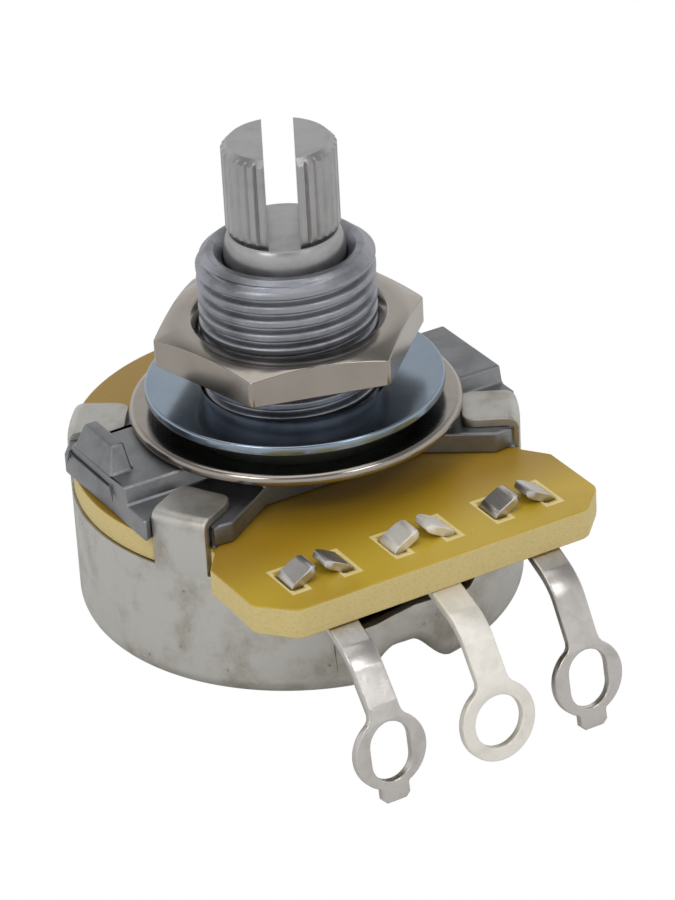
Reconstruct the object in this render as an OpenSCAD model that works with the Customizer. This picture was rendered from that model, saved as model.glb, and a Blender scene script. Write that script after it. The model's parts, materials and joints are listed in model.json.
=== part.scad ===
// Panel rotary potentiometer with a split knurled shaft, threaded bushing, three solder
// lugs and a folded-tab metal can. Millimetres, +Z along the shaft towards the knob.
// The origin is on the shaft axis, on the face of the plate that seats against the panel.
// The solder lugs point towards -Y.

/* [Shaft] */
// Diameter of the knurled knob end
knob_d = 6; // [5:0.05:6.4]
// Length of the knurled knob end
knob_len = 5.05; // [4:0.05:8]
// Number of knurl grooves around the knob end
knurl_count = 24; // [12:1:40]
// Depth of a knurl groove
knurl_depth = 0.25; // [0.1:0.05:0.5]
// Width of a knurl groove at the surface
knurl_w = 0.3; // [0.1:0.05:0.35]
// Width of the slot across the knob end
slot_w = 1.65; // [0.8:0.05:2.2]
// Diameter of the journal that turns in the bushing
journal_d = 6.4; // [5.8:0.05:7]
// Diameter of the neck under the knurl
neck_d = 5.2; // [4:0.05:5.8]
// Height of the rounded shoulder over the bushing's mouth
shoulder_h = 0.8; // [0.4:0.05:1.5]
// Chamfer around the top of the knob end
knob_chamfer = 0.35; // [0.1:0.05:0.6]
// Radial running clearance between the journal and the bushing
running_gap = 0.07; // [0.02:0.01:0.1]
// Turn of the shaft about its axis, from the middle of its travel, in degrees
rest_turn = -28.6; // [-60:0.1:60]

/* [Bushing and plate] */
// Outer diameter of the bushing thread
thread_d = 9.4; // [8.5:0.05:10.5]
// Pitch of the bushing thread
thread_pitch = 0.794; // [0.6:0.002:1]
// Depth of the bushing thread
thread_depth = 0.4; // [0.2:0.05:0.5]
// Length of the bushing above the panel seat
bushing_len = 9.5; // [8:0.1:16]
// Chamfer at the top of the bushing
bushing_chamfer = 0.5; // [0.2:0.05:0.9]
// Diameter of the round boss that the washers seat on
boss_d = 16; // [14.5:0.1:17]
// Thickness of the cast plate
plate_t = 2.15; // [1.8:0.05:3]
// Inset of the wings' flat sides from the can's outside
plate_inset = 0.5; // [0.2:0.05:0.8]
// Depth of the ledges that the can's tabs fold on to
ledge_depth = 0.95; // [0.7:0.05:1.3]
// Front end of the raised pad on each wing
pad_front = -2.5; // [-4:0.1:-1.5]
// Back end of the raised pad on each wing
pad_back = 3.2; // [2:0.1:4.5]
// Height of the locating lug above the panel seat
lug_h = 1.4; // [0.8:0.05:2.5]
// Thickness of the locating lug
lug_t = 1.1; // [0.7:0.05:1.6]
// Length of the locating lug
lug_len = 3.4; // [2:0.1:4.5]

/* [Board] */
// Thickness of the element board
board_t = 1.45; // [1:0.05:2]
// Distance from the shaft axis to the board's front edge
board_front = 15; // [14:0.1:17]
// Width of the board's front part
board_w = 20.6; // [18:0.1:22]
// Cut across each front corner of the board
board_corner = 1.7; // [0.8:0.1:2.5]
// Diameter of the clearance hole around the shaft's flange
board_hole_d = 8.6; // [8.4:0.05:9]
// Thickness of the printed element and conductors
print_t = 0.1; // [0.05:0.01:0.2]

/* [Terminals] */
// Distance between neighbouring terminals
pitch = 6.05; // [5.5:0.05:6.5]
// Thickness of the terminal sheet
sheet_t = 0.5; // [0.4:0.05:0.7]
// Width of the strap between the board and the eyelet
strap_w = 1.75; // [1.2:0.05:2.2]
// Distance from the shaft axis to the strap's first bend
bend_y = 14.2; // [13.5:0.1:15]
// Outer diameter of the two outer eyelets
eyelet_d = 4.1; // [3.6:0.05:4.8]
// Width of the oval hole in the outer eyelets
eyelet_hole_w = 2.3; // [1.6:0.05:2.6]
// Length of the oval hole in the outer eyelets
eyelet_hole_len = 3.2; // [2.4:0.05:3.3]
// Outer diameter of the centre eyelet
centre_eyelet_d = 4.3; // [3.8:0.05:4.8]
// Diameter of the round hole in the centre eyelet
centre_hole_d = 2.8; // [2:0.05:3.2]
// Length of the stub at the tip of the outer eyelets
stub_len = 0.7; // [0.4:0.05:1]
// Width of that stub
stub_w = 1.6; // [1:0.05:2]
// Reach of the left, centre and right strap from the shaft axis
left_reach = 18.55; // [17.5:0.05:20]
centre_reach = 19; // [17.5:0.05:20]
right_reach = 18.1; // [17.5:0.05:20]
// Drop of the left, centre and right strap below the panel seat
left_drop = 7.4; // [6:0.05:9]
centre_drop = 7.5; // [6:0.05:9]
right_drop = 7.75; // [6:0.05:9]
// Lean of the left, centre and right eyelet from the vertical, in degrees
left_lean = 8; // [0:1:25]
centre_lean = 10; // [0:1:25]
right_lean = 10; // [0:1:25]
// Drop of the straps from the board to their elbow
elbow_drop = 1.05; // [0.6:0.05:1.6]
// Width of the clinched prongs
prong_w = 1.6; // [1.2:0.05:2]

/* [Can] */
// Outer diameter of the can
can_d = 24.2; // [23.8:0.1:25]
// Distance from the panel seat to the can's back
can_depth = 10.62; // [10.4:0.02:13]
// Thickness of the can's sheet
can_t = 0.5; // [0.4:0.05:0.6]
// Radius around the can's back edge
can_round = 1; // [0.7:0.05:1.4]
// Width of the folded tabs
tab_w = 3.2; // [2.6:0.1:3.6]
// Radius at which the folded tabs end
tab_reach = 8.9; // [8.6:0.1:10]
// Width of the cut-out in the wall behind the centre terminal
mouth_w = 9; // [7:0.1:10]
// Distance from the panel seat to the lower edge of that cut-out
mouth_depth = 6.8; // [5.8:0.1:7.4]
// Radius of the arched stop dent in the can's back edge
dent_r = 2.1; // [1.6:0.05:2.4]
// Length of the dent inwards from the can's outside
dent_len = 4; // [3.1:0.05:4.3]
// Direction of the stop dent from the shaft axis, in degrees
dent_angle = 267; // [262:1:275]

/* [Rotor] */
// Radial room between the insulating rotor disc and the can
rotor_room = 2; // [1.6:0.05:4]
// Thickness of the insulating rotor disc
rotor_t = 1.2; // [0.8:0.05:1.5]
// Distance from the board's underside to the rotor disc
rotor_gap = 1.8; // [1.5:0.05:2]
// Thickness of the metal driver plate
driver_t = 0.8; // [0.5:0.05:0.9]
// Radius of the wiper's path on the resistive track
track_r = 7.4; // [7:0.05:7.8]
// Width of the resistive track
track_w = 1.8; // [1.2:0.05:2]
// Radius of the middle of the collector ring
collector_r = 5.3; // [5.1:0.05:5.5]
// Width of the collector ring
collector_w = 1; // [0.6:0.05:1.2]
// Half of the stop tab's angle, in degrees
stop_half = 14.2; // [8:0.1:14.4]

/* [Hardware] */
// Overhang of the lower, round-edged washer beyond the boss
lower_over = 0.85; // [0.3:0.05:1.1]
// Thickness of the lower washer
lower_t = 0.65; // [0.5:0.05:0.9]
// Outer diameter of the toothed lock washer
lock_d = 12.6; // [12:0.1:13.5]
// Height of the lock washer over its twisted teeth
lock_h = 0.7; // [0.5:0.05:1]
// Number of teeth in the lock washer
lock_teeth = 12; // [8:1:16]
// Inset of the upper washer's rim from the rim of the boss
upper_inset = 0.05; // [0:0.01:0.7]
// Thickness of the upper washer
upper_t = 0.55; // [0.4:0.05:0.9]
// Radial clearance of the washers around the thread
washer_gap = 0.3; // [0.2:0.05:0.4]
// Width of the nut across its flats
nut_af = 12.7; // [12:0.1:14]
// Thickness of the nut
nut_t = 1.85; // [1.5:0.05:2.5]
// Height of the nut's underside above the upper washer
nut_lift = 1.87; // [0:0.01:2.2]
// Radial clearance of the nut around the thread
nut_gap = 0.05; // [0.02:0.01:0.1]
// Turn of the nut about the shaft axis, in degrees
nut_turn = -15.7; // [-30:0.1:30]

/* [Hidden] */
$fn = 96;
// Overrun of a cutting shape past the face that it cuts
cut = 1;
// Gap between pieces that sit face to face or ring in ring
seat_gap = 0.02;

thread_r = thread_d / 2;
journal_r = journal_d / 2;
bore_r = journal_r + running_gap;
knob_r = knob_d / 2;
neck_r = neck_d / 2;
can_r = can_d / 2;
can_in_r = can_r - can_t;
plate_w = can_d - 2 * plate_inset;
lower_d = boss_d + 2 * lower_over;
upper_d = boss_d - 2 * upper_inset;

board_top = -plate_t;
board_low = board_top - board_t;
print_low = board_low - print_t;
can_floor = -can_depth + can_t;

// Levels along the shaft
shoulder_low = bushing_len + 0.1;
neck_low = shoulder_low + shoulder_h;
knob_low = neck_low + 0.1;
shaft_top = knob_low + knob_len;
thrust_t = 0.3;
flange_top = board_top - seat_gap - thrust_t - seat_gap;
flange_low = board_low + 0.3;
flange_r = board_hole_d / 2 - 0.35;
hub_r = 3;
hub_flat = 2.5;
rotor_top = board_low - rotor_gap;
rotor_low = rotor_top - rotor_t;
driver_low = rotor_low - driver_t;
stake_h = 0.4;
pivot_r = 1.2;
pivot_low = can_floor + 0.1;

// Tabs of the can: their directions, the top of a folded tab and the gap around each
tab_angles = [34, 146, 210, 330];
tab_top = -ledge_depth + can_t;
tab_gap = 0.1;
tab_round = 0.8;

// Plan of one wing, from the boss around its ledges and its flat side
wing_front = 7.6;
wing_back = 7.9;
wing_in = 5;
wing_r = can_in_r + 0.35;

// Board: where the straight sides begin, and where they meet the round part
side_back = 9;
neck_x = 9.1;
neck_y = 7.5;
board_round = 0.8;
board_r = can_r - 0.15;

// Prongs of a terminal, which stand at the outer side of the slots that they pass
prong_x = 1.85;
prong_y = 12.2;
prong_rise = 0.65;
prong_lie = 1.65;
prong_tilt = 12;
slot_mid = 1.55;
slot_x = 1.3;
slot_y = 2.4;
base_front = 10.6;
base_w = 4.3;
base_z = board_low - sheet_t / 2 - seat_gap;
feet_room = 0.5;
feet_w = 2 * pitch + base_w + 2 * feet_room;

// Printed parts and where the track ends, counted each way from +Y
track_end = 152;
pad_end = 164;
strip_w = 1.3;

// Rotor, and the radius at which the can's dent ends
rotor_r = can_in_r - rotor_room;
dent_reach = can_r - dent_len;

// Wiper arms
arm_w = 1;
wiper_t = 0.25;
contact_r = 0.45;
contact_gap = 0.03;

// Stop tab on the driver plate
stop_in = dent_reach + 0.5;
stop_out = can_in_r - 1.2;
stop_low = -can_depth + 1.3;

lock_low = lower_t;
upper_low = lock_low + lock_h;
upper_top = upper_low + upper_t;
nut_low = upper_top + nut_lift;
nut_top = nut_low + nut_t;
washer_shift = [0.105, -0.057];

// A flat round ring from z = low to z = high
module ring(r_out, r_in, low, high) {
    difference() {
        translate([0, 0, low]) cylinder(h = high - low, r = r_out);
        translate([0, 0, low - cut]) cylinder(h = high - low + 2 * cut, r = r_in);
    }
}

// A wedge of the plane from angle a0 to a1, less than a half turn each way about its middle
module wedge(r, a0, a1) {
    mid = (a0 + a1) / 2;
    polygon([[0, 0], for (a = [a0, (a0 + mid) / 2, mid, (a1 + mid) / 2, a1])
        r / cos((a1 - a0) / 8) * [cos(a), sin(a)]]);
}

// Plan of an arc of a ring from angle a0 to a1
module arc_plan(r_out, r_in, a0, a1) {
    intersection() {
        difference() {
            circle(r = r_out);
            circle(r = r_in);
        }
        wedge(2 * r_out, a0, a1);
    }
}

// A square-cut slice of the plane along one direction, from radius r0 outwards
module lane(angle, width, r0, r1) {
    rotate(angle) translate([r0, -width / 2]) square([r1 - r0, width]);
}

// Plan of both wings and the boss of the cast plate
module plate_plan() {
    circle(d = boss_d);
    intersection() {
        circle(r = wing_r);
        square([plate_w, 4 * wing_r], center = true);
        for (side = [-1, 1])
            polygon([[side * wing_in, -wing_in - 0.6], [side * (wing_in + 3.6), -wing_front],
                [side * 2 * wing_r, -wing_front], [side * 2 * wing_r, wing_back],
                [side * (wing_in + 3.6), wing_back], [side * wing_in, wing_in + 0.6]]);
    }
}

// The threaded bushing, whose thread is cut as separate rings below its top chamfer
module barrel() {
    top = bushing_len - bushing_chamfer;
    first = top - thread_pitch / 2 - 0.1;
    rotate_extrude() polygon([[0, 0], [thread_r, 0],
        for (z = [first - thread_pitch * floor((first - 0.3) / thread_pitch):thread_pitch:first])
            each [[thread_r, z - 0.4 * thread_pitch], [thread_r - thread_depth, z - 0.06 * thread_pitch],
                [thread_r - thread_depth, z + 0.06 * thread_pitch], [thread_r, z + 0.4 * thread_pitch]],
        [thread_r, top], [thread_r - bushing_chamfer, bushing_len], [0, bushing_len]]);
}

module bushing_plate() color([0.60, 0.63, 0.68]) difference() {
    union() {
        translate([0, 0, -plate_t]) linear_extrude(plate_t) difference() {
            plate_plan();
            for (a = tab_angles) lane(a, tab_w + 2 * tab_gap, can_in_r - tab_gap, 2 * can_r);
        }
        barrel();
        translate([-plate_w / 2, pad_back - 0.7 - lug_len, -seat_gap])
            cube([lug_t, lug_len, lug_h + seat_gap]);
    }
    // Ledges before and behind the raised pads
    translate([0, 0, -ledge_depth]) linear_extrude(ledge_depth + cut) difference() {
        square(4 * can_r, center = true);
        circle(d = boss_d);
        translate([-can_r * 2, pad_front]) square([can_r * 4, pad_back - pad_front]);
    }
    translate([0, 0, -plate_t - cut]) cylinder(h = plate_t + bushing_len + 2 * cut, r = bore_r);
    translate([0, 0, bushing_len - 0.25]) cylinder(h = 0.5, r1 = bore_r, r2 = bore_r + 0.5);
}

// Outline of the knob end with its knurl grooves
module knob_plan() {
    difference() {
        circle(r = knob_r);
        for (i = [0:knurl_count - 1]) rotate((i + 0.5) * 360 / knurl_count)
            polygon([[knob_r - knurl_depth, 0], [knob_r + knurl_depth, -knurl_w],
                [knob_r + knurl_depth, knurl_w]]);
    }
}

module shaft() color([0.72, 0.72, 0.72]) rotate(rest_turn) {
    difference() {
        union() {
            intersection() {
                translate([0, 0, knob_low]) linear_extrude(knob_len) knob_plan();
                rotate_extrude() polygon([[0, knob_low], [knob_r - knob_chamfer, knob_low],
                    [knob_r + seat_gap, knob_low + knob_chamfer],
                    [knob_r + seat_gap, shaft_top - knob_chamfer],
                    [knob_r - knob_chamfer, shaft_top], [0, shaft_top]]);
            }
            translate([0, 0, shoulder_low]) cylinder(h = knob_low - shoulder_low + 0.01, r = neck_r);
        }
        translate([-slot_w / 2, -knob_d, knob_low]) cube([slot_w, 2 * knob_d, knob_len + cut]);
    }
    // Rounded shoulder, journal, flange, hub, staked end and pivot
    rotate_extrude() intersection() {
        translate([0, shoulder_low]) union() {
            square([neck_r, shoulder_h]);
            translate([journal_r - shoulder_h, 0]) circle(r = shoulder_h);
            square([journal_r - shoulder_h, shoulder_h]);
        }
        translate([0, shoulder_low]) square([2 * journal_r, shoulder_h]);
    }
    translate([0, 0, flange_top]) cylinder(h = shoulder_low - flange_top, r = journal_r);
    translate([0, 0, flange_low]) cylinder(h = flange_top - flange_low, r = flange_r);
    intersection() {
        translate([0, 0, driver_low]) cylinder(h = flange_low - driver_low, r = hub_r);
        translate([-hub_flat, -2 * hub_r, driver_low])
            cube([2 * hub_flat, 4 * hub_r, flange_low - driver_low]);
    }
    translate([0, 0, driver_low - stake_h]) cylinder(h = stake_h, r1 = hub_r - 0.3, r2 = hub_r + 0.3);
    translate([0, 0, pivot_low]) cylinder(h = driver_low - pivot_low, r = pivot_r);
}

module thrust_washer() color([0.25, 0.2, 0.16])
    ring(flange_r, journal_r + 0.1, flange_top + seat_gap, board_top - seat_gap);

// Hole with two flats that fits the shaft's hub
module hub_hole(low, high) {
    intersection() {
        translate([0, 0, low - cut]) cylinder(h = high - low + 2 * cut, r = hub_r + seat_gap);
        translate([-hub_flat - seat_gap, -2 * hub_r, low - cut])
            cube([2 * (hub_flat + seat_gap), 4 * hub_r, high - low + 2 * cut]);
    }
}

module driver_plate() color([0.7, 0.68, 0.62]) rotate(rest_turn) {
    difference() {
        translate([0, 0, driver_low]) linear_extrude(driver_t) {
            circle(r = stop_in - 1);
            arc_plan(stop_out, 1, 90 - stop_half, 90 + stop_half);
        }
        hub_hole(driver_low, rotor_low);
    }
    translate([0, 0, stop_low]) linear_extrude(driver_low - stop_low)
        arc_plan(stop_out, stop_in, 90 - stop_half, 90 + stop_half);
}

module rotor_disc() color([0.35, 0.2, 0.12]) rotate(rest_turn) difference() {
    translate([0, 0, rotor_low]) cylinder(h = rotor_t, r = rotor_r);
    hub_hole(rotor_low, rotor_top);
}

// One sprung arm from the wiper's ring out to a contact at radius r
module wiper_arm(r) {
    root = hub_r + 0.7;
    rise = print_low - contact_gap - wiper_t - rotor_top;
    slope = atan2(rise, r - root);
    translate([root, -arm_w / 2, rotor_top]) rotate([0, -slope, 0])
        cube([(r - root) / cos(slope), arm_w, wiper_t]);
    translate([r, 0, print_low - contact_gap - 2 * wiper_t]) cylinder(h = 2 * wiper_t, r = contact_r);
}

module wiper() color([0.8, 0.72, 0.5]) rotate(rest_turn) {
    difference() {
        ring(hub_r + 1.3, 1, rotor_top, rotor_top + wiper_t);
        hub_hole(rotor_top, rotor_top + wiper_t);
    }
    rotate(90) wiper_arm(track_r);
    rotate(-90) wiper_arm(collector_r);
}

// Plan of the board with its shaft hole, tab notches and prong slots
module board_plan() {
    x1 = board_w / 2;
    difference() {
        union() {
            circle(r = board_r);
            polygon([for (s = [-1, 1]) each s < 0
                ? [[-neck_x, 0], [-neck_x, -neck_y], [-x1, -side_back],
                    [-x1, -board_front + board_corner], [-x1 + board_corner, -board_front]]
                : [[x1 - board_corner, -board_front], [x1, -board_front + board_corner],
                    [x1, -side_back], [neck_x, -neck_y], [neck_x, 0]]]);
        }
        circle(d = board_hole_d);
        for (a = tab_angles) lane(a, tab_w + 2 * tab_gap, can_in_r - tab_gap, 2 * can_r);
        for (i = [-1:1], s = [-1, 1])
            translate([i * pitch + s * slot_mid - slot_x / 2, -prong_y - slot_y / 2])
                square([slot_x, slot_y]);
    }
}

module element_board() color([0.78, 0.64, 0.22])
    translate([0, 0, board_low]) linear_extrude(board_t) board_plan();

module resistive_track() color([0.12, 0.12, 0.12])
    translate([0, 0, print_low]) linear_extrude(print_t)
        for (s = [0, 1]) mirror([s, 0])
            arc_plan(track_r + track_w / 2, track_r - track_w / 2, 90 - track_end, 90);

// Conductor from one end of the track out to the foot of an outer terminal
module end_conductor(s) {
    join_r = track_r + track_w / 2 - 0.3;
    a0 = 90 - pad_end + 1.5;
    a1 = 90 - track_end - 1.5;
    mirror([s, 0]) {
        arc_plan(track_r + track_w / 2, track_r - track_w / 2, 90 - pad_end, 90 - track_end);
        polygon([join_r * [cos(a0), sin(a0)], [pitch - strip_w / 2, -base_front + 0.3],
            [pitch + strip_w / 2, -base_front + 0.3], join_r * [cos(a1), sin(a1)]]);
    }
}

module end_conductors() color([0.75, 0.75, 0.73])
    translate([0, 0, print_low]) linear_extrude(print_t)
        for (s = [0, 1]) end_conductor(s);

module collector_ring() color([0.75, 0.75, 0.73])
    translate([0, 0, print_low]) linear_extrude(print_t) {
        difference() {
            circle(r = collector_r + collector_w / 2);
            circle(r = collector_r - collector_w / 2);
        }
        translate([-strip_w / 2, -base_front + 0.3])
            square([strip_w, base_front - 0.3 - collector_r]);
    }

// Unit normal of the line from p to q, and one side of a bent strip around its middle line
function normal(p, q) = let (d = (q - p) / norm(q - p)) [-d[1], d[0]];
function side(pts, h) = [for (i = [0:len(pts) - 1])
    let (a = normal(pts[max(i - 1, 0)], pts[max(i, 1)]),
        b = normal(pts[min(i, len(pts) - 2)], pts[min(i + 1, len(pts) - 1)]))
    pts[i] + h * (a + b) / (1 + a * b)];

// Section of a bent strip of sheet whose middle line runs through points
module strip(pts) {
    low = side(pts, -sheet_t / 2);
    polygon([each side(pts, sheet_t / 2), for (i = [len(pts) - 1:-1:0]) low[i]]);
}

// Strap whose middle line runs through points of the YZ plane
module strap(pts, width)
    translate([-width / 2, 0, 0]) rotate([90, 0, 90]) linear_extrude(width) strip(pts);

// Prong that comes up through the board and is clinched down towards the middle
module prong(s) mirror([s > 0 ? 0 : 1, 0]) {
    bend = [prong_x, board_top + prong_rise];
    translate([0, -prong_y + prong_w / 2, 0]) rotate([90, 0, 0]) linear_extrude(prong_w)
        strip([[prong_x, base_z], bend, bend - prong_lie * [cos(prong_tilt), sin(prong_tilt)]]);
}

// A whole terminal at x, whose strap ends at the given reach and drop
module terminal(x, reach, drop, lean, ring_d, hole_w, hole_len, stub) translate([x, 0, 0]) {
    foot = [-bend_y, base_z];
    elbow = [-bend_y - 0.62 * (reach - bend_y), base_z - elbow_drop];
    neck = [-reach, -drop];
    into_ring = neck - 0.6 * [sin(lean), cos(lean)];
    translate([-base_w / 2, -bend_y, base_z - sheet_t / 2])
        cube([base_w, bend_y - base_front, sheet_t]);
    for (s = [-1, 1]) prong(s);
    strap([foot + [0.5, 0], foot, elbow, neck, into_ring], strap_w);
    translate([0, neck[0], neck[1]]) rotate([-lean, 0, 0]) {
        centre = -(ring_d / 2 - 0.15);
        difference() {
            union() {
                translate([0, 0, centre]) rotate([90, 0, 0])
                    cylinder(h = sheet_t, d = ring_d, center = true);
                if (stub > 0)
                    translate([-stub_w / 2, -sheet_t / 2, centre - ring_d / 2 - stub])
                        cube([stub_w, sheet_t, stub + 0.5]);
            }
            for (e = hole_len > hole_w ? [-1, 1] : [0])
                translate([0, 0, centre + e * (hole_len - hole_w) / 2]) rotate([90, 0, 0])
                    cylinder(h = sheet_t + 2 * cut, d = hole_w, center = true);
            if (hole_len > hole_w)
                translate([-hole_w / 2, -cut, centre - (hole_len - hole_w) / 2])
                    cube([hole_w, 2 * cut, hole_len - hole_w]);
        }
    }
}

module terminal_left() color([0.72, 0.72, 0.72])
    terminal(-pitch, left_reach, left_drop, left_lean, eyelet_d, eyelet_hole_w, eyelet_hole_len,
        stub_len);

module terminal_centre() color([0.86, 0.85, 0.82])
    terminal(0, centre_reach, centre_drop, centre_lean, centre_eyelet_d, centre_hole_d,
        centre_hole_d, 0);

module terminal_right() color([0.72, 0.72, 0.72])
    terminal(pitch, right_reach, right_drop, right_lean, eyelet_d, eyelet_hole_w, eyelet_hole_len,
        stub_len);

// Section of the can's cup with a round back edge: outer skin at radius r, floor at level z
module cup_half(r, z, round_r, top) {
    translate([0, z + round_r]) square([r, top - z - round_r]);
    translate([0, z]) square([r - round_r, round_r + 0.01]);
    translate([r - round_r, z + round_r]) circle(r = round_r);
}

module cup(r, z, round_r, top) {
    rotate_extrude() intersection() {
        cup_half(r, z, round_r, top);
        translate([0, z - cut]) square([2 * r, top - z + 2 * cut]);
    }
}

// Round-topped bar that runs outwards from radius r0 along the dent
module dent_bar(r, r0) {
    rotate(dent_angle) translate([r0, 0, -can_depth]) rotate([0, 90, 0])
        cylinder(h = can_r + cut - r0, r = r);
}

// Plan of one folded tab with rounded corners at its tip
module tab_plan() {
    intersection() {
        circle(r = can_r);
        union() {
            translate([tab_reach + tab_round, -tab_w / 2]) square([can_r, tab_w]);
            translate([tab_reach, -tab_w / 2 + tab_round])
                square([can_r, tab_w - 2 * tab_round]);
            for (s = [-1, 1]) translate([tab_reach + tab_round, s * (tab_w / 2 - tab_round)])
                circle(r = tab_round);
        }
    }
}

module can() color([0.68, 0.68, 0.66]) {
    difference() {
        cup(can_r, -can_depth, can_round, tab_top);
        difference() {
            cup(can_in_r, can_floor, can_round - can_t, tab_top + cut);
            dent_bar(dent_r + can_t, dent_reach - can_t);
        }
        dent_bar(dent_r, dent_reach);
        translate([-mouth_w / 2, -2 * can_r, -mouth_depth])
            cube([mouth_w, 2 * can_r, can_depth]);
        translate([-feet_w / 2, -2 * can_r, base_z - sheet_t / 2 - feet_room])
            cube([feet_w, 2 * can_r, can_depth]);
        // Above the rim only the four tabs stand
        translate([0, 0, board_low]) linear_extrude(can_depth) difference() {
            circle(r = 2 * can_r);
            for (a = tab_angles) lane(a, tab_w, 0, 3 * can_r);
        }
    }
    for (a = tab_angles) rotate(a)
        translate([0, 0, tab_top - can_t]) linear_extrude(can_t) tab_plan();
}

module lower_washer() color([0.74, 0.72, 0.69]) translate(washer_shift) rotate_extrude()
    difference() {
        union() {
            translate([0, 0]) square([lower_d / 2 - lower_t / 2, lower_t]);
            translate([lower_d / 2 - lower_t / 2, lower_t / 2]) circle(d = lower_t);
        }
        translate([-1, -cut]) square([thread_r + washer_gap + 1, lower_t + 2 * cut]);
    }

module lock_washer() color([0.5, 0.5, 0.5]) translate(washer_shift) {
    rim_r = lock_d / 2;
    rim_in = rim_r - 0.7;
    tooth_in = thread_r + washer_gap;
    tooth_t = 0.35;
    tooth_w = lock_h - tooth_t / 2;
    ring(rim_r, rim_in, lock_low, upper_low);
    for (i = [0:lock_teeth - 1]) rotate(i * 360 / lock_teeth)
        translate([tooth_in, -tooth_w / 2, lock_low + (lock_h - tooth_t) / 2])
            cube([rim_in - tooth_in + 0.2, tooth_w, tooth_t]);
}

module upper_washer() color([0.62, 0.68, 0.76]) translate(washer_shift)
    ring(upper_d / 2, thread_r + washer_gap, upper_low, upper_top);

module hex_nut() color([0.72, 0.68, 0.66]) {
    corner_r = nut_af / 2 / cos(30);
    face_r = nut_af / 2 - 0.2;
    rise = (corner_r - face_r) * tan(26);
    thread_hole = thread_r + nut_gap;
    difference() {
        intersection() {
            rotate(nut_turn) translate([0, 0, nut_low]) cylinder(h = nut_t, r = corner_r, $fn = 6);
            union() {
                translate([0, 0, nut_low - cut]) cylinder(h = nut_t - rise + cut, r = 2 * corner_r);
                translate([0, 0, nut_top - rise])
                    cylinder(h = rise, r1 = corner_r + 0.05, r2 = face_r);
            }
        }
        translate([0, 0, nut_low - cut]) cylinder(h = nut_t + 2 * cut, r = thread_hole);
        translate([0, 0, nut_top - 0.4]) cylinder(h = 0.8, r1 = thread_hole, r2 = thread_hole + 0.8);
        translate([0, 0, nut_low - 0.4]) cylinder(h = 0.8, r1 = thread_hole + 0.8, r2 = thread_hole);
    }
}

bushing_plate();
shaft();
thrust_washer();
driver_plate();
rotor_disc();
wiper();
element_board();
resistive_track();
end_conductors();
collector_ring();
terminal_left();
terminal_centre();
terminal_right();
can();
lower_washer();
lock_washer();
upper_washer();
hex_nut();
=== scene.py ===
"""Looks of a panel potentiometer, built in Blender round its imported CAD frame.

Every shape is made in millimetres in the frame's own axes: the origin is on the shaft's axis at
the panel seat, +Z runs along the shaft to the knob, and the solder lugs point towards -Y.
"""

import json
import logging
import math
from dataclasses import dataclass, field
from enum import Enum
from typing import Callable, Iterable, Sequence

import bmesh
import bpy
from mathutils import Matrix, Vector

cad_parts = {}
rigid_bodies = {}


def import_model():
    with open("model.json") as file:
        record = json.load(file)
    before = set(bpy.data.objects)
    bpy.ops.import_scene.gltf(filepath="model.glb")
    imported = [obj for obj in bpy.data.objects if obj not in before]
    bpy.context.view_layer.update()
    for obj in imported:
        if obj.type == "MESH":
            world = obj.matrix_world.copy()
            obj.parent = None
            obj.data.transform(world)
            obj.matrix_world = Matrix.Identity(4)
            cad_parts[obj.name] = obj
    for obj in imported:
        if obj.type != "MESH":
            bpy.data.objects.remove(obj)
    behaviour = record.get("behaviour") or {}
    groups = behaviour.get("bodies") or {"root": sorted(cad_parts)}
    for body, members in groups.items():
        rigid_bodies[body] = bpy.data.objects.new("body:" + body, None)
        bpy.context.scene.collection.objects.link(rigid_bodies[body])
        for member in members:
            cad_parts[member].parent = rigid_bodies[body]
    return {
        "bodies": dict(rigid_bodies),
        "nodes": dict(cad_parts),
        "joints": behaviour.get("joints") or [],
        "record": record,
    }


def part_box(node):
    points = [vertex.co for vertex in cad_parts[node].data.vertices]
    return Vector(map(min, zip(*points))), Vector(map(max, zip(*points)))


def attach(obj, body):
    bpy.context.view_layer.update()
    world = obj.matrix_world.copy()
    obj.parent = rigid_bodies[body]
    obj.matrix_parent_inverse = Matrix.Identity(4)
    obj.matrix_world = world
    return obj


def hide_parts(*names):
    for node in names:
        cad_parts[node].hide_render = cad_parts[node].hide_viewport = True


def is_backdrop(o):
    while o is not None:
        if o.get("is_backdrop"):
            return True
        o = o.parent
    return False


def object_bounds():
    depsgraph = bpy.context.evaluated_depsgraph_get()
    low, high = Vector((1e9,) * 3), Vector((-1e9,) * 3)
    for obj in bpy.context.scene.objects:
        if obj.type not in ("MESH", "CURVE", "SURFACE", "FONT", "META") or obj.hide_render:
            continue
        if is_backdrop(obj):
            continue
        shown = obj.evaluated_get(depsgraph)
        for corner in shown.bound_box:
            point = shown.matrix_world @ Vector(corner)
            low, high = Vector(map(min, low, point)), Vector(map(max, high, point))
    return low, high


LOG = logging.getLogger("potentiometer")
MM = 0.001

# Directions of the can's folded tabs in degrees, and half the width of the gaps they stand in
TAB_ANGLES = (34, 146, 210, 330)
TAB_GAP = 1.7
# Step from lug to lug, and where the slots of a lug's prongs lie beside and before it
PITCH = 6.05
SLOT_X = 1.5
SLOT_Y = 12.2
# Far enough out to lie beyond every piece
OUTSIDE = 20.0
# Added to a wire so that it's above zero when its fraction is taken
WHOLE = 64.0
# Points closer than this are one, and faces that lean less than this many degrees are one
WELD = 0.015
LEVEL = 0.3

Colour = tuple[float, float, float]
Point = tuple[float, float]
Piece = bpy.types.Object
Value = "float | int | tuple | Wire | bpy.types.Material"


class Body(Enum):
    """Bodies of the frame."""

    ROOT = "root"
    ROTOR = "rotor"
    NUT = "nut"


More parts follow.
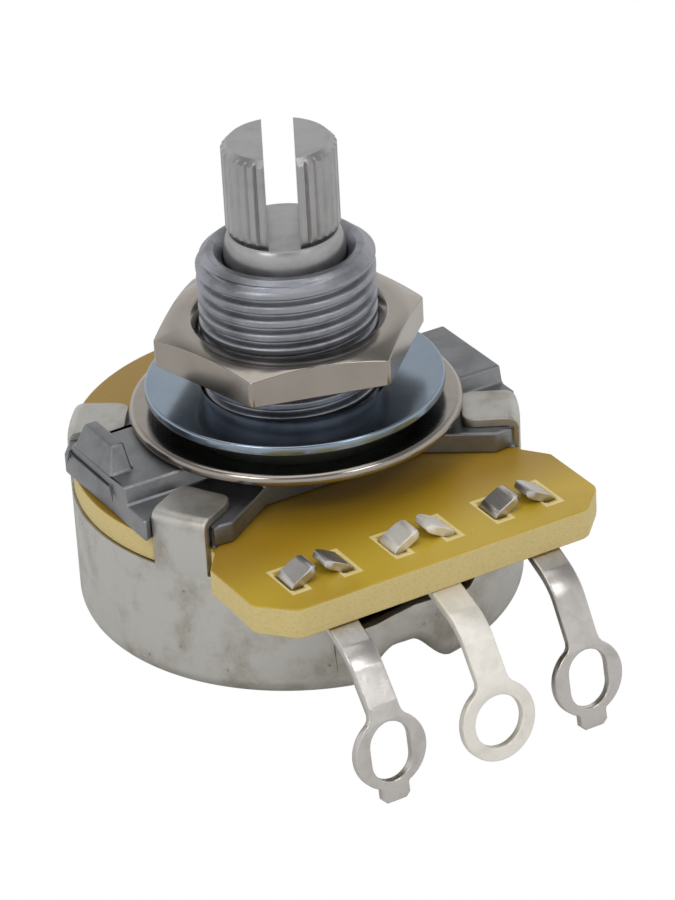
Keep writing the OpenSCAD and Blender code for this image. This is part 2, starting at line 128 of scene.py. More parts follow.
class Slot(Enum):
    """Material slots of the record."""

    CASTING = "cast_zinc"
    SHAFT = "shaft_metal"
    FIBRE = "fibre"
    DRIVER = "driver_steel"
    PHENOLIC = "phenolic"
    SPRING = "spring_brass"
    BOARD = "board"
    CARBON = "carbon"
    SILVER_PRINT = "silver_print"
    TINNED = "tinned"
    MATT_SILVER = "matt_silver"
    CAN = "can_tin"
    NICKEL = "nickel"
    LOCK_STEEL = "lock_steel"
    BLUE_ZINC = "blue_zinc"


class Grain(Enum):
    """Direction in which a metal's fine texture is drawn out."""

    EVEN = (1.0, 1.0, 1.0)
    ALONG_SHAFT = (1.0, 1.0, 0.06)


def srgb(red: float, green: float, blue: float) -> Colour:
    """Linear colour of an 0 to 255 screen colour."""
    levels = (red / 255, green / 255, blue / 255)
    return tuple(c / 12.92 if c < 0.04045 else ((c + 0.055) / 1.055) ** 2.4 for c in levels)


# Node trees


def math_node(operation: str) -> Callable[..., "Wire"]:
    """Makes a method of Wire from one of the operations of Blender's Math node."""
    return lambda self, *others: self.maths(operation, *others)


class Wire:
    """An output socket of a node tree that takes Python's arithmetic."""

    __add__ = __radd__ = math_node("ADD")
    __mul__ = __rmul__ = math_node("MULTIPLY")
    __sub__ = math_node("SUBTRACT")
    __truediv__ = math_node("DIVIDE")
    __abs__ = math_node("ABSOLUTE")
    fraction = math_node("FRACT")
    root = math_node("SQRT")
    larger = math_node("MAXIMUM")
    smaller = math_node("MINIMUM")
    bearing = math_node("ARCTAN2")

    def __init__(self, graph: "Graph", socket: bpy.types.NodeSocket) -> None:
        """Wraps one output socket of a graph."""
        self.graph = graph
        self.socket = socket

    def maths(self, operation: str, *others: Value) -> "Wire":
        """Result of one Math node.

        Args:
            operation: Blender's name of the operation.
            others: The operands after this one.

        Returns:
            The node's output.
        """
        inputs = dict(enumerate((self, *others)))
        return self.graph.node("ShaderNodeMath", inputs, operation=operation)

    def __rsub__(self, other: float) -> "Wire":
        """Difference from a number."""
        return (self * -1.0) + other

    def ramp(self, low: Value, high: Value) -> "Wire":
        """Smooth rise from 0 at low to 1 at high; low may be the larger."""
        inputs = {"Value": self, "From Min": low, "From Max": high}
        return self.graph.node("ShaderNodeMapRange", inputs, interpolation_type="SMOOTHSTEP")


class Graph:
    """Builds a shader or geometry tree."""

    def __init__(self, tree: bpy.types.NodeTree) -> None:
        """Works on one tree."""
        self.tree = tree

    def node(self, kind: str, inputs: dict | None = None, out: int | str = 0, **settings) -> Wire:
        """Adds a node.

        Args:
            kind: Blender's type name of the node.
            inputs: Values or wires by socket name or number.
            out: The output that is wanted, by name or number.
            settings: Properties of the node.

        Returns:
            That output.
        """
        made = self.tree.nodes.new(kind)
        for name, value in settings.items():
            setattr(made, name, value)
        for key, value in (inputs or {}).items():
            if isinstance(value, Wire):
                self.tree.links.new(value.socket, made.inputs[key])
            else:
                made.inputs[key].default_value = value
        return Wire(self, made.outputs[out])

    def millimetres(self, stretch: Sequence[float] = (1.0, 1.0, 1.0)) -> Wire:
        """Object coordinates in millimetres.

        Args:
            stretch: Scale along X, Y and Z.

        Returns:
            The coordinates.
        """
        place = self.node("ShaderNodeTexCoord", out="Object")
        scale = tuple(s / MM for s in stretch)
        return self.node("ShaderNodeMapping", {"Vector": place, "Scale": scale})

    def vector(self, **parts: Value) -> Wire:
        """Vector of the given X, Y and Z."""
        return self.node("ShaderNodeCombineXYZ", parts)

    def axes(self, vector: Wire) -> tuple[Wire, Wire, Wire]:
        """X, Y and Z of a vector."""
        split = self.node("ShaderNodeSeparateXYZ", {0: vector})
        return tuple(Wire(self, socket) for socket in split.socket.node.outputs)

    def noise(self, place: Wire, size: float, detail: float = 3.0, rough: float = 0.5) -> Wire:
        """Cloudy noise from 0 to 1 whose patches are about size millimetres."""
        inputs = {"Vector": place, "Scale": 1 / size, "Detail": detail, "Roughness": rough}
        return self.node("ShaderNodeTexNoise", inputs)

    def specks(self, place: Wire, size: float, reach: float) -> Wire:
        """1 at the middle of cells about size millimetres apart, 0 beyond reach of a cell."""
        inputs = {"Vector": place, "Scale": 1 / size}
        return self.node("ShaderNodeTexVoronoi", inputs, out="Distance").ramp(reach, 0.0)

    def mix(self, share: Value, first: Value, second: Value) -> Wire:
        """Mixes two colours.

        Args:
            share: Share of the second colour.
            first: Colour or wire at a share of 0.
            second: Colour or wire at a share of 1.

        Returns:
            The mixed colour.
        """
        colours = [(*c, 1.0) if isinstance(c, tuple) else c for c in (first, second)]
        inputs = {0: share, 6: colours[0], 7: colours[1]}
        return self.node("ShaderNodeMix", inputs, out=2, data_type="RGBA")

    def bump(self, height: Wire, depth: float, under: Wire | None = None) -> Wire:
        """Normal of a bumpy surface.

        Args:
            height: Height from 0 to 1.
            depth: Millimetres that a height of 1 stands for.
            under: Normal of a bump under this one.

        Returns:
            The normal.
        """
        inputs = {"Height": height, "Distance": depth * MM, "Strength": 1.0}
        if under is not None:
            inputs["Normal"] = under
        return self.node("ShaderNodeBump", inputs)


def new_material(name: str) -> tuple[bpy.types.Material, Graph, bpy.types.Node]:
    """Makes an empty material.

    Args:
        name: Name of the material.

    Returns:
        The material, its graph and its Principled node, which is already wired to the output.
    """
    material = bpy.data.materials.new(name)
    material.use_nodes = True
    material.node_tree.nodes.clear()
    graph = Graph(material.node_tree)
    surface = graph.node("ShaderNodeBsdfPrincipled")
    output = material.node_tree.nodes.new("ShaderNodeOutputMaterial")
    material.node_tree.links.new(surface.socket, output.inputs["Surface"])
    return material, graph, surface.socket.node


def plug(graph: Graph, target: bpy.types.Node, **values: Value) -> None:
    """Sets or links a node's inputs.

    Args:
        graph: The graph that holds the node.
        target: The node.
        values: Numbers, colours or wires by input, named with _ for a space.
    """
    for name, value in values.items():
        socket = target.inputs[name.replace("_", " ")]
        if isinstance(value, Wire):
            graph.tree.links.new(value.socket, socket)
        elif isinstance(value, tuple):
            socket.default_value = (*value, 1.0)
        else:
            socket.default_value = value


# Finishes


@dataclass(frozen=True)
class Metal:
    """A bare or plated metal with soft stains, a fine grain and small pits."""

    name: str
    colour: Colour
    stain: Colour
    roughness: float
    stain_share: float = 0.4
    stain_size: float = 3.0
    rough_swing: float = 0.12
    grain: Grain = Grain.EVEN
    grain_size: float = 0.12
    grain_depth: float = 0.004
    grain_tone: float = 1.0
    stain_band: Point = (0.42, 0.72)
    dent_size: float = 1.2
    dent_depth: float = 0.01
    pit_share: float = 0.0
    pit_gap: float = 0.9
    pit_reach: float = 0.16
    pit_band: Point = (0.5, 0.58)
    pit_colour: Colour = srgb(62, 56, 48)
    core_r: float = 0.0
    core: Colour = srgb(156, 158, 165)

    def material(self) -> bpy.types.Material:
        """Builds the material.

        Returns:
            The material.
        """
        material, graph, surface = new_material(self.name)
        place = graph.millimetres()
        drawn = graph.millimetres(self.grain.value)
        cloud = graph.noise(place, self.stain_size, 5.0, 0.62)
        fine = graph.noise(drawn, self.grain_size, 2.0, 0.6)
        speckle = (fine - 0.5) * self.grain_tone
        stained = cloud.ramp(*self.stain_band) * self.stain_share + speckle * 0.25
        base = self.colour
        if self.core_r > 0:
            x, y, _ = graph.axes(place)
            radius = (x * x + y * y).root()
            base = graph.mix(radius.ramp(self.core_r + 0.1, self.core_r), base, self.core)
        colour = graph.mix(stained, base, self.stain)
        if self.pit_share > 0:
            pits = graph.specks(place, self.pit_gap, self.pit_reach)
            pits = pits * cloud.ramp(*self.pit_band) * self.pit_share
            colour = graph.mix(pits, colour, self.pit_colour)
        rough = self.roughness + (cloud - 0.5) * self.rough_swing + speckle * 0.1
        dents = graph.bump(graph.noise(place, self.dent_size, 2.0), self.dent_depth)
        normal = graph.bump(fine, self.grain_depth, dents)
        plug(graph, surface, Base_Color=colour, Metallic=1.0, Roughness=rough, Normal=normal)
        return material


@dataclass(frozen=True)
class Laminate:
    """Yellow glass laminate: tinted faces with painted shade towards the washer, and sawn edges
    that show pale speckled fibre.
    """

    name: str = "yellow laminate"
    face: Colour = srgb(190, 160, 46)
    # Darker face colour: painted shade behind the front strip of the board, near the washer, and
    # random darker patches
    face_shade_and_tone: Colour = srgb(152, 116, 18)
    edge: Colour = srgb(214, 194, 130)
    edge_speck: Colour = srgb(203, 181, 119)
    border: Colour = srgb(220, 202, 138)
    slot_half: Point = (0.4, 1.2)
    border_w: float = 0.2
    border_in: float = 0.15
    # Y in millimetres over which the painted shade rises from none to its full share
    shade_from: float = -13.4
    shade_to: float = -8.2
    weave_size: float = 0.16
    weave_band: Point = (0.48, 0.66)
    facing_band: Point = (0.35, 0.8)
    rough_edge: float = 0.62
    rough_fall: float = 0.3

    def slot_border(self, graph: Graph, place: Wire) -> Wire:
        """1 in a narrow band round each prong slot.

        Args:
            graph: The material's graph.
            place: Coordinates in millimetres.

        Returns:
            The band.
        """
        x, y, _ = graph.axes(place)
        across = abs((x / PITCH + (WHOLE + 0.5)).fraction() - 0.5) * PITCH
        beside = abs(across - SLOT_X) - self.slot_half[0]
        along = abs(y + SLOT_Y) - self.slot_half[1]
        near = abs(x).ramp(1.5 * PITCH, 1.5 * PITCH - 0.1)
        away = beside.larger(along)
        band = away.ramp(self.border_w, self.border_w * 0.6) * away.ramp(-self.border_in, 0.0)
        return band * near

    def material(self) -> bpy.types.Material:
        """Builds the material.

        Returns:
            The material.
        """
        material, graph, surface = new_material(self.name)
        place = graph.millimetres()
        cloud = graph.noise(place, 6.0)
        weave = graph.noise(graph.millimetres((1.0, 1.0, 2.0)), self.weave_size, 3.0, 0.7)
        facing = abs(graph.axes(graph.node("ShaderNodeTexCoord", out="Normal"))[2])
        facing = facing.ramp(*self.facing_band)
        # Painted shade: the face darkens from the front edge towards the washer, and random cloud
        # patches add a darker tone
        depth = graph.axes(place)[1].ramp(self.shade_from, self.shade_to) * 0.9
        shade_and_tone = depth.larger(cloud.ramp(0.45, 0.75) * 0.4)
        face = graph.mix(shade_and_tone, self.face, self.face_shade_and_tone)
        face = graph.mix(self.slot_border(graph, place), face, self.border)
        edge = graph.mix(weave.ramp(*self.weave_band), self.edge, self.edge_speck)
        colour = graph.mix(facing, edge, face)
        rough = self.rough_edge - facing * self.rough_fall
        normal = graph.bump(weave, 0.02)
        plug(graph, surface, Base_Color=colour, Roughness=rough, Normal=normal)
        return material


@dataclass(frozen=True)
class Moulded:
    """A plain insulating material: pressed fibre, phenolic or printed carbon."""

    name: str
    colour: Colour
    second: Colour
    roughness: float
    size: float = 0.4
    depth: float = 0.01

    def material(self) -> bpy.types.Material:
        """Builds the material.

        Returns:
            The material.
        """
        material, graph, surface = new_material(self.name)
        grain = graph.noise(graph.millimetres(), self.size, 4.0, 0.65)
        colour = graph.mix(grain.ramp(0.35, 0.7), self.colour, self.second)
        rough = self.roughness + (grain - 0.5) * 0.2
        normal = graph.bump(grain, self.depth)
        plug(graph, surface, Base_Color=colour, Roughness=rough, Normal=normal)
        return material


FINISHES: dict[Slot, "Metal | Laminate | Moulded"] = {
    Slot.CASTING: Metal("cast zinc", srgb(138, 139, 141), srgb(106, 107, 110), 0.42,
                        stain_share=0.7, dent_depth=0.02, dent_size=0.8, grain_depth=0.006,
                        core_r=5.0),
    Slot.SHAFT: Metal("turned shaft alloy", srgb(166, 165, 165), srgb(138, 136, 135), 0.32,
                      grain=Grain.ALONG_SHAFT, grain_size=0.1, stain_size=1.6),
    Slot.FIBRE: Moulded("red fibre", srgb(92, 48, 36), srgb(64, 34, 26), 0.7),
    Slot.DRIVER: Metal("driver steel", srgb(160, 156, 146), srgb(128, 120, 108), 0.36),
    Slot.PHENOLIC: Moulded("brown phenolic", srgb(92, 56, 34), srgb(64, 40, 26), 0.5),
    Slot.SPRING: Metal("spring brass", srgb(190, 162, 96), srgb(150, 122, 66), 0.3),
    Slot.BOARD: Laminate(),
    Slot.CARBON: Moulded("printed carbon", srgb(34, 34, 36), srgb(22, 22, 23), 0.55, 0.1, 0.004),
    Slot.SILVER_PRINT: Metal("printed silver", srgb(176, 174, 168), srgb(144, 138, 126), 0.5,
                             grain_size=0.08, grain_depth=0.006),
    Slot.TINNED: Metal("bright tin", srgb(196, 192, 188), srgb(152, 148, 144), 0.3,
                       stain_size=1.4, dent_size=0.7, dent_depth=0.012),
    Slot.MATT_SILVER: Metal("matt silver", srgb(234, 230, 222), srgb(210, 204, 194), 0.55,
                            stain_size=1.0, dent_size=0.35, dent_depth=0.02),
    Slot.CAN: Metal("satin tin", srgb(189, 187, 182), srgb(156, 151, 139), 0.42,
                    stain_share=0.9, stain_size=2.6, pit_share=0.6, dent_depth=0.012),
    Slot.NICKEL: Metal("bright nickel", srgb(158, 151, 143), srgb(136, 129, 120), 0.17,
                       stain_size=4.0, dent_depth=0.003, grain_depth=0.0003, grain_tone=0.2),
    Slot.LOCK_STEEL: Metal("dark spring steel", srgb(104, 110, 100), srgb(76, 80, 72), 0.4),
    Slot.BLUE_ZINC: Metal("blue zinc", srgb(142, 156, 170), srgb(116, 131, 146), 0.2,
                          stain_size=5.0, dent_depth=0.004, grain_depth=0.0003, grain_tone=0.2),
}


# Meshes in millimetres


def arc(centre: Point, radius: float, start: float, end: float, steps: int = 8) -> list[Point]:
    """Points of an arc.

    Args:
        centre: Middle of the arc.
        radius: Radius of the arc.
        start: First angle in degrees.
        end: Last angle in degrees.
        steps: Number of chords.

    Returns:
        The points, both ends included.
    """
    angles = [math.radians(start + (end - start) * i / steps) for i in range(steps + 1)]
    return [(centre[0] + radius * math.cos(a), centre[1] + radius * math.sin(a)) for a in angles]


def circle(radius: float, count: int = 96, centre: Point = (0.0, 0.0)) -> list[Point]:
    """Points round a whole circle."""
    return arc(centre, radius, 0, 360, count)[:-1]


def box_outline(x0: float, y0: float, x1: float, y1: float) -> list[Point]:
    """Corners of a rectangle between two corners."""
    return [(x0, y0), (x1, y0), (x1, y1), (x0, y1)]


def rounded(points: Sequence[Point], radii: Sequence[float], steps: int = 6) -> list[Point]:
    """Rounds an outline's corners.

    Args:
        points: Corners of the outline.
        radii: Radius of each corner, 0 for a sharp one.
        steps: Number of chords at each round corner.

    Returns:
        The outline with its corners rounded.
    """
    result: list[Point] = []
    count = len(points)
    for i, (corner, radius) in enumerate(zip(points, radii)):
        here = Vector(corner)
        back = (Vector(points[i - 1]) - here).normalized()
        ahead = (Vector(points[(i + 1) % count]) - here).normalized()
        half = back.angle(ahead) / 2
        if radius <= 0 or abs(half - math.pi / 2) < 1e-4:
            result.append(corner)
            continue
        centre = here + (back + ahead).normalized() * (radius / math.sin(half))
        first = here + back * (radius / math.tan(half)) - centre
        last = here + ahead * (radius / math.tan(half)) - centre
        turn = first.angle_signed(last)
        for k in range(steps + 1):
            point = centre + Matrix.Rotation(-turn * k / steps, 2) @ first
            result.append((point.x, point.y))
    return result


def fade(value: float, low: float, high: float) -> float:
    """Smooth rise from 0 at low to 1 at high; low may be the larger."""
    share = min(max((value - low) / (high - low), 0.0), 1.0)
    return share * share * (3 - 2 * share)


def linked(name: str, data: bpy.types.ID) -> Piece:
    """Puts a new object into the scene.

    Args:
        name: Name of the object.
        data: Its mesh, lamp or camera.

    Returns:
        The object.
    """
    made = bpy.data.objects.new(name, data)
    bpy.context.scene.collection.objects.link(made)
    return made


def stored(name: str, mesh: bmesh.types.BMesh) -> Piece:
    """Makes an object from a bmesh, which is freed.

    Args:
        name: Name of the object.
        mesh: Its mesh.

    Returns:
        The object.
    """
    data = bpy.data.meshes.new(name)
    mesh.to_mesh(data)
    mesh.free()
    return linked(name, data)


def loft(name: str, loops: Sequence[Sequence[Vector]], closed: bool = False) -> Piece:
    """Makes a solid through loops of points.

    Args:
        name: Name of the object.
        loops: Loops of one length, or of a single point where they meet.
        closed: Whether the last loop is joined to the first, instead of both getting a face.

    Returns:
        The solid.
    """
    mesh = bmesh.new()
    made = [[mesh.verts.new(p) for p in loop] for loop in loops]
    count = max(len(loop) for loop in made)
    for a, b in zip(made, made[1:] + made[:closed]):
        for k in range(count):
            j = (k + 1) % count
            quad = [a[k % len(a)], a[j % len(a)], b[j % len(b)], b[k % len(b)]]
            corners = list(dict.fromkeys(quad))
            if len(corners) > 2:
                mesh.faces.new(corners)
    for end in (made[0], made[-1]):
        if not closed and len(end) > 1:
            mesh.faces.new(end)
    bmesh.ops.recalc_face_normals(mesh, faces=mesh.faces)
    return stored(name, mesh)


def lathe(name: str, profile: Sequence[Point], segments: int = 128) -> Piece:
    """Turns a closed profile of (radius, height) points round the shaft's axis.

    Args:
        name: Name of the object.
        profile: The profile, which may touch the axis.
        segments: Number of steps round the axis.

    Returns:
        The turned solid.
    """
    loops = [[Vector((x, y, height)) for x, y in circle(radius, segments if radius > 0 else 1)]
             for radius, height in profile]
    return loft(name, loops, closed=profile[0][0] > 0 or profile[-1][0] > 0)


def slab(name: str, outline: Sequence[Point], low: float, high: float) -> Piece:
    """A prism of an outline between two heights."""
    return loft(name, [[Vector((x, y, z)) for x, y in outline] for z in (low, high)])


def placed(made: Piece, matrix: Matrix) -> Piece:
    """Moves an object's mesh and returns the object."""
    made.data.transform(matrix)
    return made


def turned(made: Piece, degrees: float, axis: str = "Z") -> Piece:
    """Turns an object's mesh about an axis through the origin."""
    return placed(made, Matrix.Rotation(math.radians(degrees), 4, axis))


def settle(made: Piece) -> Piece:
    """Turns an object's modifiers into a plain mesh.

    Args:
        made: The object, which is changed.

    Returns:
        The object.
    """
    graph = bpy.context.evaluated_depsgraph_get()
    mesh = bpy.data.meshes.new_from_object(made.evaluated_get(graph), depsgraph=graph)
    old = made.data
    made.modifiers.clear()
    made.data = mesh
    mesh.name = made.name
    bpy.data.meshes.remove(old)
    return made


def tab_gaps(inner: float, low: float, high: float) -> list[Piece]:
    """Cutters, from a radius outwards, for the gaps in which the can's tabs stand."""
    outline = box_outline(inner, -TAB_GAP, OUTSIDE, TAB_GAP)
    return [turned(slab("gap", outline, low, high), angle) for angle in TAB_ANGLES]


def combine(body: Piece, operation: str, others: Iterable[Piece]) -> Piece:
    """Cuts, joins or intersects a solid with others, which are used up.

    Args:
        body: The solid that is changed.
        operation: DIFFERENCE, UNION or INTERSECT.
        others: The other solids.

    Returns:
        The changed solid.
    """
    for other in others:
        step = body.modifiers.new("combine", "BOOLEAN")
        step.operation, step.solver, step.object = operation, "EXACT", other
        settle(body)
        bpy.data.meshes.remove(other.data)
    return body


def softened(made: Piece, width: float, steps: int = 2, angle: float = 35,
             merge: bool = True) -> Piece:
    """Rounds a solid's sharp edges.

    Args:
        made: The solid.
        width: Width of the rounding in millimetres.
        steps: Number of faces across it.
        angle: Least angle in degrees of an edge that is rounded.
        merge: Whether faces in one plane are merged first, which a face with holes can't bear.

    Returns:
        The solid.
    """
    mesh = bmesh.new()
    mesh.from_mesh(made.data)
    bmesh.ops.remove_doubles(mesh, verts=mesh.verts, dist=WELD)
    if merge:
        flat = math.radians(LEVEL)
        bmesh.ops.dissolve_limit(mesh, angle_limit=flat, verts=mesh.verts, edges=mesh.edges)
    mesh.to_mesh(made.data)
    mesh.free()
    bevel = made.modifiers.new("round", "BEVEL")
    bevel.width, bevel.segments = width, steps
    bevel.limit_method, bevel.angle_limit = "ANGLE", math.radians(angle)
    bevel.use_clamp_overlap = False
    bevel.miter_outer = "MITER_ARC"
    return settle(made)


def sliced(made: Piece, places: Iterable[float], normal: Vector) -> Piece:
    """Splits a mesh's faces along parallel planes, without parting it.

    Args:
        made: The object.
        places: Distances of the planes from the origin.
        normal: Direction across the planes.

    Returns:
        The object.
    """
    mesh = bmesh.new()
    mesh.from_mesh(made.data)
    for place in places:
        bmesh.ops.bisect_plane(mesh, geom=[*mesh.verts, *mesh.edges, *mesh.faces],
                               plane_co=normal * place, plane_no=normal, dist=1e-4)
    mesh.to_mesh(made.data)
    mesh.free()
    return made


def joined(name: str, parts: Sequence[Piece]) -> Piece:
    """Puts several meshes into one object, without joining their faces.

    Args:
        name: Name of the object.
        parts: Objects that are used up.

    Returns:
        The object.
    """
    mesh = bmesh.new()
    for part in parts:
        mesh.from_mesh(part.data)
        bpy.data.meshes.remove(part.data)
    return stored(name, mesh)


# Geometry Nodes


class NodeTool:
    """A Geometry Nodes tree with named inputs, used as a modifier."""

    def __init__(self, name: str, *sizes: str) -> None:
        """Starts the tree.

        Args:
            name: Name of the tree.
            sizes: Names of its number inputs.
        """
        self.tree = bpy.data.node_groups.new(name, "GeometryNodeTree")
        self.graph = Graph(self.tree)
        make = self.tree.interface.new_socket
        make("Geometry", in_out="OUTPUT", socket_type="NodeSocketGeometry")
        make("Geometry", in_out="INPUT", socket_type="NodeSocketGeometry")
        self.keys = {}
        for label, kind in (("Material", "Material"), *((size, "Float") for size in sizes)):
            socket = make(label, in_out="INPUT", socket_type="NodeSocket" + kind)
            self.keys[label] = socket.identifier
        entry = self.tree.nodes.new("NodeGroupInput")
        self.inputs = {s.name: Wire(self.graph, s) for s in entry.outputs if s.name}

    def close(self, geometry: Wire) -> None:
        """Ends the tree: realized, with the material set.

        Args:
            geometry: What the tree made.
        """
        real = self.graph.node("GeometryNodeRealizeInstances", {"Geometry": geometry})
        inputs = {"Geometry": real, "Material": self.inputs["Material"]}
        dressed = self.graph.node("GeometryNodeSetMaterial", inputs)
        leave = self.tree.nodes.new("NodeGroupOutput")
        self.tree.links.new(dressed.socket, leave.inputs[0])

    def apply(self, made: Piece, material: bpy.types.Material, **sizes: float) -> Piece:
        """Runs the tree on an object and keeps the result as a plain mesh.

        Args:
            made: The object.
            material: The material that the tree sets.
            sizes: Values of its inputs, named with _ for a space.

        Returns:
            The object.
        """
        modifier = made.modifiers.new(self.tree.name, "NODES")
        modifier.node_group = self.tree
        modifier[self.keys["Material"]] = material
        for label, value in sizes.items():
            modifier[self.keys[label.replace("_", " ")]] = float(value)
        return settle(made)


class GrooveTool(NodeTool):
    """Cuts grooves into a turned surface, round it as a thread or along it as a knurl."""

    def __init__(self) -> None:
        """Builds the tree."""
        super().__init__("Cut grooves", "Surface Radius", "Depth", "Grooves Round",
                         "Grooves per mm", "Phase", "Crest", "Root", "Low", "High", "Fade")
        graph, value = self.graph, self.inputs
        x, y, z = graph.axes(graph.node("GeometryNodeInputPosition"))
        radius = (x * x + y * y).root()
        turn = y.bearing(x) / (2 * math.pi)
        phase = z * value["Grooves per mm"] - turn * value["Grooves Round"] + value["Phase"]
        height = abs((phase + WHOLE).fraction() * 2.0 - 1.0)
        cut = height.ramp(1.0 - value["Crest"], value["Root"])
        inside = z.ramp(value["Low"], value["Low"] + value["Fade"])
        inside = inside * z.ramp(value["High"] + value["Fade"], value["High"])
        limit = value["Surface Radius"] - value["Depth"] * cut * inside
        scale = radius.smaller(limit) / radius.larger(0.001)
        place = graph.vector(X=x * scale, Y=y * scale, Z=z)
        inputs = {"Geometry": value["Geometry"], "Position": place}
        self.close(graph.node("GeometryNodeSetPosition", inputs))


class ToothTool(NodeTool):
    """Sets twisted teeth round the inside of a ring."""

    def __init__(self, teeth: int) -> None:
        """Builds the tree.

        Args:
            teeth: Number of teeth.
        """
        super().__init__("Ring of teeth", "Tooth Radius", "Length", "Width", "Sheet", "Height",
                         "Twist")
        graph, value = self.graph, self.inputs
        inputs = {"Vertices": teeth, "Radius": value["Tooth Radius"]}
        points = graph.node("GeometryNodeMeshCircle", inputs)
        size = graph.vector(X=value["Length"], Y=value["Width"], Z=value["Sheet"])
        tooth = graph.node("GeometryNodeMeshCube", {"Size": size})
        x, y, _ = graph.axes(graph.node("GeometryNodeInputPosition"))
        lean = graph.vector(X=value["Twist"], Z=y.bearing(x))
        inputs = {"Points": points, "Instance": tooth, "Rotation": lean}
        ring = graph.node("GeometryNodeInstanceOnPoints", inputs)
        lift = graph.vector(Z=value["Height"])
        ring = graph.node("GeometryNodeTransform", {"Geometry": ring, "Translation": lift})
        both = graph.node("GeometryNodeJoinGeometry", {"Geometry": ring})
        self.tree.links.new(value["Geometry"].socket, both.socket.node.inputs[0])
        self.close(both)


# Workshop: delivers finished pieces to the frame


@dataclass
class Workshop:
    """Holds the frame, the materials and the shared tools, and hands pieces to the frame."""

    frame: dict
    materials: dict[Slot, bpy.types.Material] = field(default_factory=dict)
    grooves: GrooveTool = field(default_factory=GrooveTool)

    def __post_init__(self) -> None:
        """Builds every finish once."""
        for slot, finish in FINISHES.items():
            self.materials[slot] = finish.material()

    def span(self, node: str) -> tuple[float, float]:
        """Lowest and highest height of a CAD node in millimetres."""
        low, high = (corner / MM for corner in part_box(node))
        return low.z, high.z

    def radius(self, node: str) -> float:
        """Radius of a round CAD node in millimetres."""
        low, high = (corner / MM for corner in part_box(node))
        return (high.x - low.x) / 2

    def dress(self, data: bpy.types.Mesh, slot: Slot, smooth: float) -> None:
        """Gives a mesh its finish.

        Args:
            data: The mesh.
            slot: The record's slot of its finish.
            smooth: Angle in degrees under which faces are shaded as one surface.
        """
        data.materials.clear()
        data.materials.append(self.materials[slot])
        data.shade_smooth()
        data.set_sharp_from_angle(angle=math.radians(smooth))

    def deliver(self, made: Piece, slot: Slot, body: Body, node: str, smooth: float = 38) -> None:
        """Dresses a finished solid and gives it to the frame.

        Args:
            made: The solid, in millimetres.
            slot: The record's slot of its finish.
            body: The body that it rides on.
            node: The CAD node that it stands for.
            smooth: Angle in degrees under which faces are shaded as one surface.
        """
        placed(made, Matrix.Scale(MM, 4))
        self.dress(made.data, slot, smooth)
        weight = made.modifiers.new("weight", "WEIGHTED_NORMAL")
        weight.keep_sharp = True
        settle(made)
        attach(made, body.value)
        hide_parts(node)
        LOG.info("%s: %d faces on %s", made.name, len(made.data.polygons), body.value)

    def repaint(self, node: str, slot: Slot) -> None:
        """Gives a CAD node that stays its finish."""
        self.dress(self.frame["nodes"][node].data, slot, 30)
        LOG.info("%s: repainted as %s", node, slot.value)


# Sub-assemblies


@dataclass
class Assembly:
    """Pieces that are made and delivered by one workshop."""

    shop: Workshop

    def build(self) -> None:
        """Builds and delivers the pieces."""
        raise NotImplementedError


